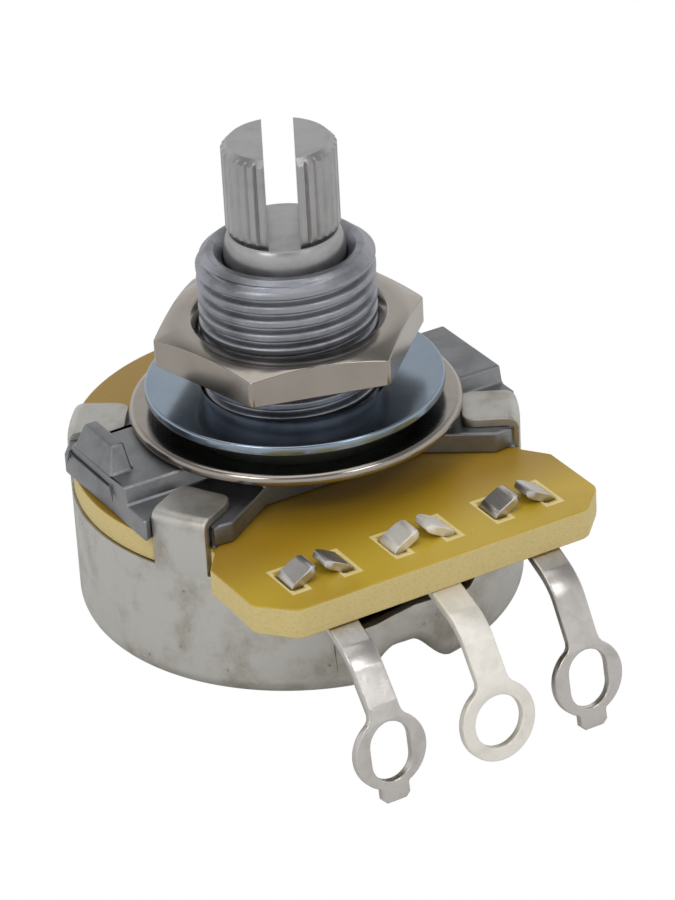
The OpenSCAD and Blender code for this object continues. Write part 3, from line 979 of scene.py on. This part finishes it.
@dataclass
class Bushing(Assembly):
    """The zinc casting: a plate with two wings and a boss, and the threaded bushing."""

    boss_r: float = 7.0
    right_wing: tuple[Point, ...] = (
        (4.8, -5.15), (7.95, -7.3), (9.2, -7.2), (11.35, -3.8), (11.35, 3.6), (9.2, 7.2),
        (7.95, 7.5), (4.8, 5.35),
    )
    left_wing: tuple[Point, ...] = (
        (-4.8, 5.35), (-7.95, 7.5), (-9.2, 7.4), (-11.0, 5.0), (-11.65, 4.2), (-11.65, -4.6),
        (-9.2, -7.2), (-7.95, -7.3), (-4.8, -5.15),
    )
    ledge: float = 0.95
    pad_front: float = -2.5
    pad_back: float = 3.2
    pad_slope: float = 0.25
    lug_foot: tuple[float, float, float, float] = (-11.7, -1.2, -10.2, 3.3)
    lug_top: tuple[float, float, float, float] = (-11.15, -0.5, -10.4, 2.5)
    lug_low: float = -0.5
    lug_height: float = 1.4
    tab_gap_r: float = 11.4
    edge: float = 0.14
    thread_r: float = 4.7
    thread_depth: float = 0.38
    thread_pitch: float = 0.794
    thread_step: float = 0.055
    barrel_low: float = -0.2
    crest_height: float = 8.89
    mouth_r: float = 4.08
    mouth_round: float = 0.1
    lip_round: float = 0.04
    mouth_in: float = 3.7
    sink: float = 0.5
    chamfer: float = 0.42
    bore_r: float = 3.27

    def ledge_cutter(self, side: int) -> Piece:
        """What is cut away beside the raised pads, with a sloped face.

        Args:
            side: -1 before the pads, 1 behind them.

        Returns:
            The cutter.
        """
        edge, far = self.pad_front if side < 0 else self.pad_back, side * OUTSIDE
        slope = side * self.pad_slope
        section = [(edge + slope, -self.ledge), (far, -self.ledge), (far, 1.0),
                   (edge - slope, 1.0)]
        cutter = slab("ledge", section, -OUTSIDE, OUTSIDE)
        axes = Matrix(((0, 0, 1, 0), (1, 0, 0, 0), (0, 1, 0, 0), (0, 0, 0, 1)))
        keep = slab("keep", circle(self.boss_r, 144), -2, 2)
        return combine(placed(cutter, axes), "DIFFERENCE", [keep])

    def locating_lug(self) -> Piece:
        """The tapered ridge on the left wing."""
        ends = ((self.lug_foot, self.lug_low), (self.lug_top, self.lug_height))
        return loft("lug", [[Vector((x, y, z)) for x, y in box_outline(*box)] for box, z in ends])

    def casting(self) -> Piece:
        """The plate with its ledges, gaps and locating lug.

        Returns:
            The solid.
        """
        low, _ = self.shop.span("bushing_plate")
        plate = slab("casting", [*self.right_wing, *self.left_wing], low, 0)
        combine(plate, "DIFFERENCE", [self.ledge_cutter(side) for side in (-1, 1)])
        combine(plate, "DIFFERENCE", tab_gaps(self.tab_gap_r, low - 1, 1))
        combine(plate, "UNION", [self.locating_lug()])
        combine(plate, "DIFFERENCE", [slab("bore", circle(self.bore_r), low - 1, 1)])
        return softened(plate, self.edge, 3)

    def barrel(self) -> Piece:
        """The threaded bushing with its flat mouth.

        Returns:
            The solid.
        """
        _, top = self.shop.span("bushing_plate")
        r, step, cut, lip = self.thread_r, self.thread_step, self.chamfer, self.lip_round
        fall = r - self.mouth_r - self.mouth_round
        profile = [(r, 0.2 + step * i) for i in range(int((top - 0.7) / step))]
        profile.append((r, top - cut - 0.05))
        profile += [(r - fall * i / 5, top - cut * (1 - i / 5) - 0.06) for i in range(6)]
        profile += arc((self.mouth_r, top - self.mouth_round), self.mouth_round, 40, 90, 4)
        profile += [(self.mouth_in + lip, top), (self.mouth_in, top - lip),
                    (self.bore_r + lip, top - self.sink), (self.bore_r, top - self.sink - 0.06),
                    (self.bore_r, self.barrel_low), (r, self.barrel_low)]
        return lathe("bushing_thread", profile, 192)

    def build(self) -> None:
        """Builds and delivers both pieces."""
        self.shop.deliver(self.casting(), Slot.CASTING, Body.ROOT, "bushing_plate")
        barrel = self.shop.grooves.apply(
            self.barrel(), self.shop.materials[Slot.CASTING], Surface_Radius=self.thread_r,
            Depth=self.thread_depth, Grooves_Round=1, Grooves_per_mm=1 / self.thread_pitch,
            Phase=-self.crest_height / self.thread_pitch - 0.25, Crest=0.36, Root=0.08,
            Low=0.3, High=9.6, Fade=0.3,
        )
        self.shop.deliver(barrel, Slot.CASTING, Body.ROOT, "bushing_plate", smooth=60)


@dataclass
class Shaft(Assembly):
    """The turned shaft with its knurled, slotted knob end and rounded shoulder."""

    knob_r: float = 3.0
    knob_low: float = 10.5
    knob_step: float = 0.5
    chamfer: float = 0.35
    grooves: int = 34
    groove_depth: float = 0.17
    slot_w: float = 1.65
    turn: float = -28.6
    neck_r: float = 2.6
    shoulder_low: float = 9.2
    shoulder_high: float = 10.62
    journal_r: float = 3.2
    flange_r: float = 3.95
    flange_t: float = 1.1
    flange_gap: float = 0.34
    hub_t: float = 0.8
    hub_neck: float = 0.5
    foot: float = 0.4
    hub_r: float = 3.0
    pivot_r: float = 1.2

    def knob(self) -> Piece:
        """The knurled end with its slot.

        Returns:
            The solid.
        """
        _, top = self.shop.span("shaft")
        low, r, cut = self.knob_low, self.knob_r, self.chamfer
        profile = [(0.0, low), (self.neck_r + 0.02, low), (r - 0.05, low + 0.3)]
        step = self.knob_step
        profile += [(r, low + 0.4 + step * i) for i in range(int((top - low - 0.6) / step))]
        profile += [(r - cut * i / 6, top - cut + cut * i / 6) for i in range(7)]
        profile += [(r - cut - 0.6, top), (0.0, top)]
        knob = lathe("shaft_knob", profile, self.grooves * 12)
        self.shop.grooves.apply(
            knob, self.shop.materials[Slot.SHAFT], Surface_Radius=r, Depth=self.groove_depth,
            Grooves_Round=self.grooves, Grooves_per_mm=0.0, Phase=0.5, Crest=0.45, Root=0.02,
            Low=low - 1, High=top + 1, Fade=0.1,
        )
        half = self.slot_w / 2
        slot = slab("slot", box_outline(-half, -OUTSIDE, half, OUTSIDE), low, top + 1)
        return turned(combine(knob, "DIFFERENCE", [slot]), self.turn)

    def spindle(self) -> Piece:
        """Everything under the knurl: neck, shoulder, journal, flange, hub and pivot.

        Returns:
            The solid.
        """
        flange = self.shop.span("element_board")[1] - self.flange_gap
        under = flange - self.flange_t
        low = self.shop.span("driver_plate")[1] - self.hub_t
        pivot, _ = self.shop.span("shaft")
        hub, pin, top = self.hub_r, self.pivot_r, self.knob_low + 0.02
        rise, width = self.shoulder_high - self.shoulder_low, self.journal_r - self.neck_r
        slope = [(self.neck_r + width * x, self.shoulder_low + rise * z)
                 for x, z in arc((0, 0), 1.0, 90, 0, 14) if self.shoulder_low + rise * z < top]
        profile = [(0.0, top), (slope[0][0], top), *slope]
        profile += [(self.journal_r, flange), (self.flange_r, flange), (self.flange_r, under),
                    (hub - self.hub_neck, under), (hub - self.hub_neck, low),
                    (hub + 0.2, low - 0.1), (hub - 0.3, low - self.foot),
                    (pin, low - self.foot), (pin, pivot + 0.2),
                    (pin - 0.2, pivot), (0.0, pivot)]
        return lathe("shaft_spindle", profile)

    def build(self) -> None:
        """Builds and delivers both pieces."""
        self.shop.deliver(self.knob(), Slot.SHAFT, Body.ROTOR, "shaft", smooth=30)
        self.shop.deliver(self.spindle(), Slot.SHAFT, Body.ROTOR, "shaft")


@dataclass
class Hardware(Assembly):
    """The nut and the three washers."""

    shift: Point = (0.105, -0.057)
    washer_in: float = 5.0
    nut_af: float = 12.7
    nut_turn: float = -15.7
    nut_bore: float = 4.75
    nut_flat_r: float = 5.65
    nut_fall: float = 0.42
    nut_corner: float = 0.35
    dome_steps: tuple[float, ...] = (1.1, 0.4, 0.28, 0.15, 0.0)
    countersink: float = 0.42
    lock_in: float = 5.6
    tooth_in: float = 5.05
    tooth_w: float = 0.75
    tooth_t: float = 0.32
    tooth_twist: float = 0.35
    teeth: int = 12
    rim_edges: tuple[tuple[str, Slot, float], ...] = (
        ("lower_washer", Slot.NICKEL, 0.4), ("upper_washer", Slot.BLUE_ZINC, 0.14),
    )
    hole_edge: float = 0.06

    def nut(self) -> Piece:
        """The hexagon nut with its softly chamfered corners.

        Returns:
            The solid.
        """
        low, top = self.shop.span("hex_nut")
        corner = self.nut_af / 2 / math.cos(math.pi / 6)
        bore, sink, reach = self.nut_bore, self.countersink, corner - self.nut_flat_r
        dome = [(self.nut_flat_r + reach * s, top - self.nut_fall * s * s)
                for s in self.dome_steps]
        profile = [(bore, low + 0.4), (bore + 0.4, low), (dome[0][0], low), *dome,
                   (bore + sink + 0.04, top), (bore + sink, top - 0.03), (bore, top - sink)]
        nut = lathe("hex_nut_domed", profile, 192)
        outline = rounded(circle(corner, 6), [self.nut_corner] * 6, 5)
        combine(nut, "INTERSECT", [slab("hexagon", outline, low - 1, top + 1)])
        return turned(softened(nut, 0.06, 3, 18), self.nut_turn)

    def washer(self, node: str, edge: float) -> Piece:
        """A washer with rounded rims.

        Args:
            node: The CAD node that gives its size.
            edge: Largest rounding of the outer rim.

        Returns:
            The washer.
        """
        low, high = self.shop.span(node)
        edge = min(edge, (high - low) / 2 - 0.02)
        rim, soft = self.shop.radius(node) - edge, self.hole_edge
        hole = self.washer_in + soft
        profile = arc((rim, high - edge), edge, 90, 0, 7) + arc((rim, low + edge), edge, 0, -90, 7)
        profile += arc((hole, low + soft), soft, 270, 180, 3)
        profile += arc((hole, high - soft), soft, 180, 90, 3)
        return lathe(node + "_pressed", profile, 192)

    def lock_washer(self) -> Piece:
        """The internal-tooth lock washer.

        Returns:
            The solid.
        """
        low, high = self.shop.span("lock_washer")
        outer, inner = self.shop.radius("lock_washer"), self.lock_in
        ring = [(outer, low + 0.05), (outer, high - 0.05), (outer - 0.05, high),
                (inner, high), (inner, low), (outer - 0.05, low)]
        return ToothTool(self.teeth).apply(
            lathe("lock_washer_toothed", ring), self.shop.materials[Slot.LOCK_STEEL],
            Tooth_Radius=(inner + self.tooth_in) / 2, Length=inner - self.tooth_in + 0.1,
            Width=self.tooth_w, Sheet=self.tooth_t, Height=(low + high) / 2,
            Twist=self.tooth_twist,
        )

    def build(self) -> None:
        """Builds and delivers the nut and the washers."""
        self.shop.deliver(self.nut(), Slot.NICKEL, Body.NUT, "hex_nut", smooth=30)
        aside = Matrix.Translation((*self.shift, 0))
        for node, slot, edge in self.rim_edges:
            made = placed(self.washer(node, edge), aside)
            self.shop.deliver(made, slot, Body.ROOT, node)
        made = placed(self.lock_washer(), aside)
        self.shop.deliver(made, Slot.LOCK_STEEL, Body.ROOT, "lock_washer")


@dataclass
class Board(Assembly):
    """The yellow element board."""

    half: float = 10.3
    front: float = 15.0
    corner: float = 1.7
    corner_round: float = 0.9
    side_back: float = 9.0
    neck_x: float = 9.25
    radius: float = 11.95
    hole_r: float = 4.3
    slot_half: Point = (0.36, 0.92)
    tab_gap_r: float = 11.5
    side_round: float = 0.3
    edge: float = 0.12
    overlap: float = 0.3
    back_angles: Point = (46, 134)
    inset: float = 0.999
    back_top: float = -1.0
    back_inner: tuple[Point, ...] = ((-8.1, 7.8), (-4.9, 5.6), (4.9, 5.6), (8.1, 7.8))
    lip_y: float = -10.2
    lip_drop: float = 0.27

    def build(self) -> None:
        """Builds and delivers the board."""
        low, top = self.shop.span("element_board")
        x, y, cut, soft = self.half, -self.front, self.corner, self.corner_round
        meet = math.degrees(math.acos(self.neck_x / self.radius))
        disc = arc((0, 0), self.radius, -meet, 180 + meet, 150)
        corners = [(-x, y + cut), (-x + cut, y), (x - cut, y), (x, y + cut)]
        front = [(-x, -self.side_back), *corners, (x, -self.side_back)]
        radii = [0.0] * len(disc) + [self.side_round, soft, soft, soft, soft, self.side_round]
        board = slab("board", rounded(disc + front, radii), low, top)
        middles = [i * PITCH + side * SLOT_X for i in (-1, 0, 1) for side in (-1, 1)]
        sliced(board, middles, Vector((1, 0, 0)))
        cuts = [slab("hole", circle(self.hole_r), low - 1, top + 1)]
        cuts += tab_gaps(self.tab_gap_r, low - 1, top + 1)
        hx, hy = self.slot_half
        for cx in middles:
            outline = box_outline(cx - hx, -SLOT_Y - hy, cx + hx, -SLOT_Y + hy)
            cuts.append(slab("slot", outline, low - 1, top + 1))
        combine(board, "DIFFERENCE", cuts)
        back = arc((0, 0), self.radius * self.inset, *self.back_angles, 44)
        back = slab("back", [*back, *self.back_inner], top - self.overlap, self.back_top)
        parts = [softened(board, self.edge, 3, merge=False),
                 softened(self.lip(corners, low), self.edge, 3),
                 softened(back, self.edge, 3)]
        self.shop.deliver(joined("laminate_board", parts), Slot.BOARD, Body.ROOT, "element_board")

    def lip(self, corners: list[Point], low: float) -> Piece:
        """The front of the underside, which gets lower towards the edge.

        Args:
            corners: The board's four front corners.
            low: Height of its underside.

        Returns:
            The lip.
        """
        x, soft = self.half, self.corner_round
        outline = rounded([(-x, self.lip_y), *corners, (x, self.lip_y)],
                          [0.0, soft, soft, soft, soft, 0.0])
        outline = [(px * self.inset, py * self.inset) for px, py in outline]
        lip = slab("lip", outline, low - self.lip_drop, low + self.overlap)
        for vert in lip.data.vertices:
            if vert.co.z < low:
                share = (vert.co.y - self.lip_y) / (-self.front - self.lip_y)
                vert.co.z = low + 0.02 - (self.lip_drop + 0.02) * share
        return lip


@dataclass
class Lug(Assembly):
    """One solder terminal: a foot under the board, two clinched prongs, a strap and an eyelet."""

    node: str
    slot: Slot
    x: float
    neck: Point
    lean: float
    ring_r: float
    hole: Point
    stub: float
    elbow_share: float
    sheet: float = 0.5
    strap_w: float = 1.75
    foot_w: float = 4.3
    foot_back: float = 10.6
    bend_y: float = 14.2
    elbow_drop: float = 1.05
    bends: tuple[float, float, float] = (1.5, 3.0, 2.2)
    prong_x: float = 1.55
    prong_w: float = 1.6
    prong_lie: float = 1.45
    prong_tilt: float = 28.0
    prong_bend: float = 0.35
    prong_tip: tuple[tuple[float, float, float], ...] = (
        (0.45, 1.0, 1.0), (0.18, 0.92, 0.93), (0.04, 0.74, 0.8), (0.0, 0.45, 0.66),
    )
    edge: float = 0.1
    ring_sink: float = 0.15
    stub_half: float = 0.8

    @property
    def past_neck(self) -> float:
        """Length of the middle line beyond the neck."""
        return 2 * self.ring_r + self.stub + 1

    def path(self, foot_z: float) -> tuple[list[Vector], list[float]]:
        """Middle line of the strap in the YZ plane, with rounded bends.

        Args:
            foot_z: Height of the foot's middle.

        Returns:
            The line's points, from the foot's back to the tip, and the length up to each.
        """
        lean = math.radians(self.lean)
        down = Vector((-math.sin(lean), -math.cos(lean)))
        elbow = -self.bend_y + self.elbow_share * (self.neck[0] + self.bend_y)
        corners = [(-self.foot_back, foot_z), (-self.bend_y, foot_z),
                   (elbow, foot_z - self.elbow_drop), self.neck,
                   tuple(Vector(self.neck) + down * self.past_neck)]
        line = [Vector(p) for p in rounded(corners, [0, *self.bends, 0], 8)]
        stops = [0.0]
        for a, b in zip(line, line[1:]):
            stops.append(stops[-1] + (b - a).length)
        return line, stops

    def outline(self, middle: float) -> list[Point]:
        """Flat pattern of the foot, strap, eyelet and stub.

        Args:
            middle: Length of the pattern up to the eyelet's middle.

        Returns:
            The outline, as (across, along) points.
        """
        half, foot, r, tip = self.strap_w / 2, self.foot_w / 2, self.ring_r, self.stub_half
        bend = self.bend_y - self.foot_back
        join = math.degrees(math.asin(half / r))
        if self.stub > 0:
            side = arc((0, middle), r, -90 + join, 90 - math.degrees(math.asin(tip / r)), 20)
            end = middle + r + self.stub
            side += [(tip, end - 0.25), (tip - 0.25, end)]
        else:
            side = arc((0, middle), r, -90 + join, 90, 22)
        right = [(foot, 0.0), (foot, bend - 0.9), (half + 0.25, bend - 0.35), (half, bend + 0.1),
                 (half, side[0][1] - 0.35), (half + 0.05, side[0][1] - 0.1), *side[1:]]
        left = [(-x, y) for x, y in reversed(right)]
        return right + (left if self.stub > 0 else left[1:])

    def sheet_piece(self) -> Piece:
        """The foot, strap and eyelet, cut flat and then bent.

        Returns:
            The solid.
        """
        half = self.sheet / 2
        line, stops = self.path(self.shop.span("element_board")[0] - half - 0.02)
        middle = stops[-1] - self.past_neck + self.ring_r - self.ring_sink
        flat = slab("sheet", self.outline(middle), -half, half)
        width, length = self.hole
        gap = (length - width) / 2
        hole = arc((0, middle + gap), width / 2, 0, 180, 20)
        hole += arc((0, middle - gap), width / 2, 180, 360, 20)
        combine(flat, "DIFFERENCE", [slab("eye", hole, -2, 2)])
        softened(flat, self.edge, 3, 50)
        sliced(flat, stops[1:-1], Vector((0, 1, 0)))
        for vert in flat.data.vertices:
            vert.co = self.bent(vert.co.copy(), line, stops)
        return flat

    def bent(self, flat: Vector, line: list[Vector], stops: list[float]) -> Vector:
        """Place on the bent strap of a point of the flat pattern.

        Args:
            flat: The point: across, along and through the sheet.
            line: Middle line of the strap.
            stops: Length along the line at each of its points.

        Returns:
            The point in the frame.
        """
        along = min(max(flat.y, 0.0), stops[-1])
        i = max(k for k in range(len(stops) - 1) if stops[k] <= along + 1e-6)
        share = (along - stops[i]) / (stops[i + 1] - stops[i])
        here = line[i].lerp(line[i + 1], share)
        before = (line[i + 1] - line[i]).normalized()
        knots = [before]
        if share < 1e-3 and i > 0:
            knots.append((line[i] - line[i - 1]).normalized())
        if share > 1 - 1e-3 and i + 2 < len(line):
            knots.append((line[i + 2] - line[i + 1]).normalized())
        way = sum(knots, Vector((0, 0))).normalized()
        up = Vector((way.y, -way.x))
        point = here + up * flat.z
        return Vector((self.x + flat.x, point.x, point.y))

    def prong(self, side: int) -> Piece:
        """One prong that comes up through its slot and is bent inwards.

        Args:
            side: -1 for the left one, 1 for the right one.

        Returns:
            The prong.
        """
        low, top = self.shop.span("element_board")
        lie = math.radians(self.prong_tilt)
        bend = Vector((self.prong_x, top))
        way = Vector((-math.cos(lie), math.sin(lie)))
        end = bend + way * self.prong_lie
        corners = [(self.prong_x, low - self.sheet), tuple(bend), tuple(end)]
        line = [Vector(p) for p in rounded(corners, [0, self.prong_bend, 0], 8)][:-1]
        shares = [(1.0, 1.0)] * len(line) + [share for _, *share in self.prong_tip]
        line += [end - way * left for left, *_ in self.prong_tip]
        loops = []
        for i, (point, (thin, wide)) in enumerate(zip(line, shares)):
            back = (point - line[max(i - 1, 0)]) or (line[1] - line[0])
            ahead = (line[min(i + 1, len(line) - 1)] - point) or back
            along = (back.normalized() + ahead.normalized()).normalized()
            out = Vector((along.y, -along.x)) * (self.sheet / 2 * thin)
            w = self.prong_w / 2 * wide
            corners = [(point + out, -w), (point + out, w), (point - out, w), (point - out, -w)]
            loops.append([Vector((p.x * side, -SLOT_Y + y, p.y)) for p, y in corners])
        made = softened(loft("prong", loops), 0.07, 2, 40)
        return placed(made, Matrix.Translation((self.x, 0, 0)))

    def build(self) -> None:
        """Builds and delivers the terminal."""
        parts = [self.sheet_piece(), self.prong(-1), self.prong(1)]
        made = joined(self.node + "_formed", parts)
        self.shop.deliver(made, self.slot, Body.ROOT, self.node)


@dataclass
class Can(Assembly):
    """The drawn can: cup, four folded tabs, cut-out behind the lugs and arched stop dent."""

    radius: float = 12.0
    shift: float = -0.1
    sheet: float = 0.5
    edge_round: float = 1.0
    tab_w: float = 3.2
    tab_reach: float = 8.9
    tab_round: float = 0.8
    tab_bend: float = 0.62
    tab_root: float = 0.3
    tab_proud: float = 0.012
    mouth: tuple[Point, ...] = (
        (-4.55, 0.0), (-4.55, -6.3), (-4.2, -6.8), (-3.4, -7.0), (-2.3, -6.8), (-1.3, -6.5),
        (-0.1, -6.27), (1.1, -6.35), (2.2, -6.7), (3.0, -6.9), (3.6, -6.75), (4.15, -6.3),
        (4.3, -5.7), (4.3, 0.0),
    )
    feet_half: float = 8.7
    feet_low: float = -4.6
    dent_angle: float = 267.0
    dent_w: float = 2.35
    dent_height: float = 1.9
    dent_side: Point = (1.25, 0.2)
    dent_front: Point = (7.7, 8.9)
    dent_fade: float = 2.7

    def cup(self) -> Piece:
        """The round cup with its dent, before the cuts in its wall.

        Returns:
            The solid.
        """
        low, rim = self.shop.span("can")[0], self.shop.span("element_board")[0]
        r, t, e = self.radius, self.sheet, self.edge_round
        wall = [rim - (rim - low - e) * i / 14 for i in range(15)]
        spokes = [0.5 * i for i in range(12, 22)]
        profile = [(0.0, low + t), (3.0, low + t)] + [(x, low + t) for x in spokes]
        profile += arc((r - e, low + e), e - t, -90, 0, 8)[:-1] + [(r - t, z) for z in wall[::-1]]
        profile += [(r, z) for z in wall] + arc((r - e, low + e), e, 0, -90, 12)[1:]
        profile += [(x, low) for x in spokes[::-1]] + [(3.0, low), (0.0, low)]
        cup = lathe("can_cup", profile, 288)
        turn = math.radians(self.dent_angle)
        for vert in cup.data.vertices:
            x, y, z = vert.co
            along = x * math.cos(turn) + y * math.sin(turn)
            across = abs(y * math.cos(turn) - x * math.sin(turn)) / self.dent_w
            lift = fade(across, *self.dent_side) * fade(along, *self.dent_front)
            left = (low + e + self.dent_fade - z) / self.dent_fade
            vert.co.z += self.dent_height * lift * min(max(left, 0.0), 1.0)
        return cup

    def tab(self, angle: float, rim: float, top: float) -> Piece:
        """One tab: it continues the wall upwards and is folded in over the plate.

        Args:
            angle: Its direction from the shaft, in degrees.
            rim: Height of the cup's rim.
            top: Height of its folded face.

        Returns:
            The tab.
        """
        r, t, half, steps = self.radius + self.tab_proud, self.sheet, self.tab_w / 2, 20
        bend, root = self.tab_bend, rim - self.tab_root
        outer = [(r, root + (top - bend - root) * i / 4) for i in range(4)]
        outer += arc((r - bend, top - bend), bend, 0, 90, 10)
        inner = [(r - t, z) for _, z in outer[:4]]
        inner += arc((r - bend, top - bend), bend - t, 0, 90, 10)
        loops = []
        for k in range(steps + 1):
            w = -half + 2 * half * k / steps
            shift = math.sqrt(r * r - w * w) - r
            over = max(abs(w) - (half - self.tab_round), 0.0)
            tip = self.tab_reach + self.tab_round - math.sqrt(self.tab_round**2 - over**2)
            flat = [r - bend + (tip - r + bend) * i / 5 for i in range(1, 6)]
            loop = outer + [(f, top) for f in flat]
            loop += [(f, top - t) for f in reversed(flat)] + list(reversed(inner))
            loops.append([Vector((p + shift, w, z)) for p, z in loop])
        return turned(softened(loft("tab", loops), 0.09, 2, 50), angle)

    def build(self) -> None:
        """Builds and delivers the can."""
        rim, top = self.shop.span("element_board")[0], self.shop.span("can")[1]
        cup = self.cup()
        mouth = slab("mouth", [(x, min(z, rim + 1)) for x, z in self.mouth], 5, OUTSIDE)
        feet = box_outline(-self.feet_half, -OUTSIDE, self.feet_half, 0)
        cuts = [turned(mouth, 90, "X"), slab("feet", feet, self.feet_low, rim + 1)]
        combine(cup, "DIFFERENCE", cuts)
        softened(cup, 0.05, 2, 60)
        tabs = [self.tab(angle, rim, top) for angle in TAB_ANGLES]
        can = placed(joined("can_drawn", [cup, *tabs]), Matrix.Translation((self.shift, 0, 0)))
        self.shop.deliver(can, Slot.CAN, Body.ROOT, "can")


# Studio


@dataclass
class Studio:
    """The floor, the lights and the camera."""

    azimuth: float = -28.63
    elevation: float = 28.21
    distance: float = 211.32
    roll: float = -3.43
    focal_px: float = 4000.0
    frame_px: tuple[int, int] = (675, 900)
    aim: tuple[float, float, float] = (0.0, 0.0, 1.05)
    aim_px: Point = (293.11, 388.41)
    sensor: float = 24.0
    floor_half: float = 3000.0
    fill: float = 0.5
    ceiling: float = 0.3
    horizon: Point = (0.75, 0.35)
    lamps: tuple[tuple[str, tuple[float, float, float], float, float], ...] = (
        ("overhead", (0.0, 0.05, 0.45), 0.4, 0.55),
        ("left key", (-0.32, -0.12, 0.34), 0.16, 0.4),
        ("right key", (0.12, -0.3, 0.36), 0.14, 0.3),
    )

    def camera(self) -> None:
        """Sets the camera as it stood for the photograph."""
        a, e, r = (math.radians(v) for v in (self.azimuth, self.elevation, self.roll))
        back = Vector((math.sin(a) * math.cos(e), -math.cos(a) * math.cos(e), math.sin(e)))
        right = Vector((math.cos(a), math.sin(a), 0.0))
        up = back.cross(right)
        level = Matrix((right, -up, -back))
        rolled = Matrix.Rotation(r, 3, "Z") @ level
        width, height = self.frame_px
        ray = Vector((self.aim_px[0] - width / 2, self.aim_px[1] - height / 2, self.focal_px))
        aimed = Vector((0, 0, 1)).rotation_difference(ray).to_matrix() @ rolled
        data = bpy.data.cameras.new("camera")
        data.sensor_fit = "VERTICAL"
        data.sensor_width = data.sensor_height = self.sensor
        data.lens = self.focal_px / height * self.sensor
        data.clip_start, data.clip_end = 0.005, 10.0
        camera = linked("camera", data)
        turn = Matrix((aimed[0], -aimed[1], -aimed[2])).transposed().to_4x4()
        place = (Vector(self.aim) + back * self.distance) * MM
        camera.matrix_world = Matrix.Translation(place) @ turn
        bpy.context.scene.camera = camera

    def lamp(self, name: str, place: Sequence[float], size: float, power: float) -> None:
        """A square soft lamp that looks at the object.

        Args:
            name: Name of the lamp.
            place: Its place in metres.
            size: Length of its side in metres.
            power: Its power in watts.
        """
        data = bpy.data.lights.new(name, "AREA")
        data.shape, data.size, data.energy = "SQUARE", size, power
        made = linked(name, data)
        turn = (-Vector(place)).to_track_quat("-Z", "Y").to_matrix().to_4x4()
        made.matrix_world = Matrix.Translation(place) @ turn

    def floor(self, height: float) -> None:
        """A plain white floor under the object, which shows the camera no shadow.

        Args:
            height: Height of the floor in metres.
        """
        far = self.floor_half
        made = placed(slab("floor", box_outline(-far, -far, far, far), -1, 0), Matrix.Scale(MM, 4))
        placed(made, Matrix.Translation((0, 0, height)))
        material, graph, surface = new_material("white paper")
        camera = graph.node("ShaderNodeLightPath", out="Is Camera Ray")
        paper = graph.mix(camera, srgb(242, 242, 242), (0.0, 0.0, 0.0))
        plug(graph, surface, Base_Color=paper, Roughness=0.9,
             Emission_Color=(1.0, 1.0, 1.0), Emission_Strength=camera)
        surface.inputs["Specular IOR Level"].default_value = 0.0
        made.data.materials.append(material)
        made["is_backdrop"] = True

    def world(self) -> None:
        """White surroundings for the camera; in reflections white low down and dim overhead."""
        world = bpy.data.worlds.new("studio")
        world.use_nodes = True
        world.node_tree.nodes.clear()
        graph = Graph(world.node_tree)
        path = graph.node("ShaderNodeLightPath").socket.node.outputs
        camera, glossy = (Wire(graph, path[n]) for n in ("Is Camera Ray", "Is Glossy Ray"))
        height = graph.axes(graph.node("ShaderNodeTexCoord", out="Generated"))[2]
        backdrop = self.ceiling + height.ramp(*self.horizon) * (1 - self.ceiling)
        seen = camera.larger(glossy * backdrop)
        strength = seen + (1 - camera.larger(glossy)) * self.fill
        sky = graph.node("ShaderNodeBackground", {"Color": (1, 1, 1, 1), "Strength": strength})
        output = world.node_tree.nodes.new("ShaderNodeOutputWorld")
        world.node_tree.links.new(sky.socket, output.inputs["Surface"])
        bpy.context.scene.world = world

    def build(self, floor_height: float) -> None:
        """Builds the studio round the object.

        Args:
            floor_height: Height of the floor in metres.
        """
        bpy.context.scene.view_settings.view_transform = "Standard"
        self.floor(floor_height)
        self.world()
        for lamp in self.lamps:
            self.lamp(*lamp)
        self.camera()


def main() -> None:
    """Builds the object's pieces in order, then the studio."""
    logging.basicConfig(level=logging.INFO, format="%(name)s: %(message)s")
    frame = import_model()
    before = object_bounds()
    shop = Workshop(frame)
    lugs = [
        Lug(shop, "terminal_left", Slot.TINNED, x=-PITCH, neck=(-18.55, -7.4), lean=8,
            ring_r=2.05, hole=(2.3, 3.2), stub=0.7, elbow_share=0.53),
        Lug(shop, "terminal_centre", Slot.MATT_SILVER, x=0.0, neck=(-19.0, -7.5), lean=10,
            ring_r=2.15, hole=(2.8, 2.8), stub=0.0, elbow_share=0.62),
        Lug(shop, "terminal_right", Slot.TINNED, x=PITCH, neck=(-18.1, -7.75), lean=10,
            ring_r=2.05, hole=(2.3, 3.2), stub=0.7, elbow_share=0.58),
    ]
    for assembly in (Bushing(shop), Shaft(shop), Hardware(shop), Board(shop), *lugs, Can(shop)):
        assembly.build()
    hidden = {"thrust_washer": Slot.FIBRE, "driver_plate": Slot.DRIVER,
              "rotor_disc": Slot.PHENOLIC, "wiper": Slot.SPRING,
              "resistive_track": Slot.CARBON, "end_conductors": Slot.SILVER_PRINT,
              "collector_ring": Slot.SILVER_PRINT}
    for node, slot in hidden.items():
        shop.repaint(node, slot)
    Studio().build(before[0].z)


if __name__ == "__main__":
    main()
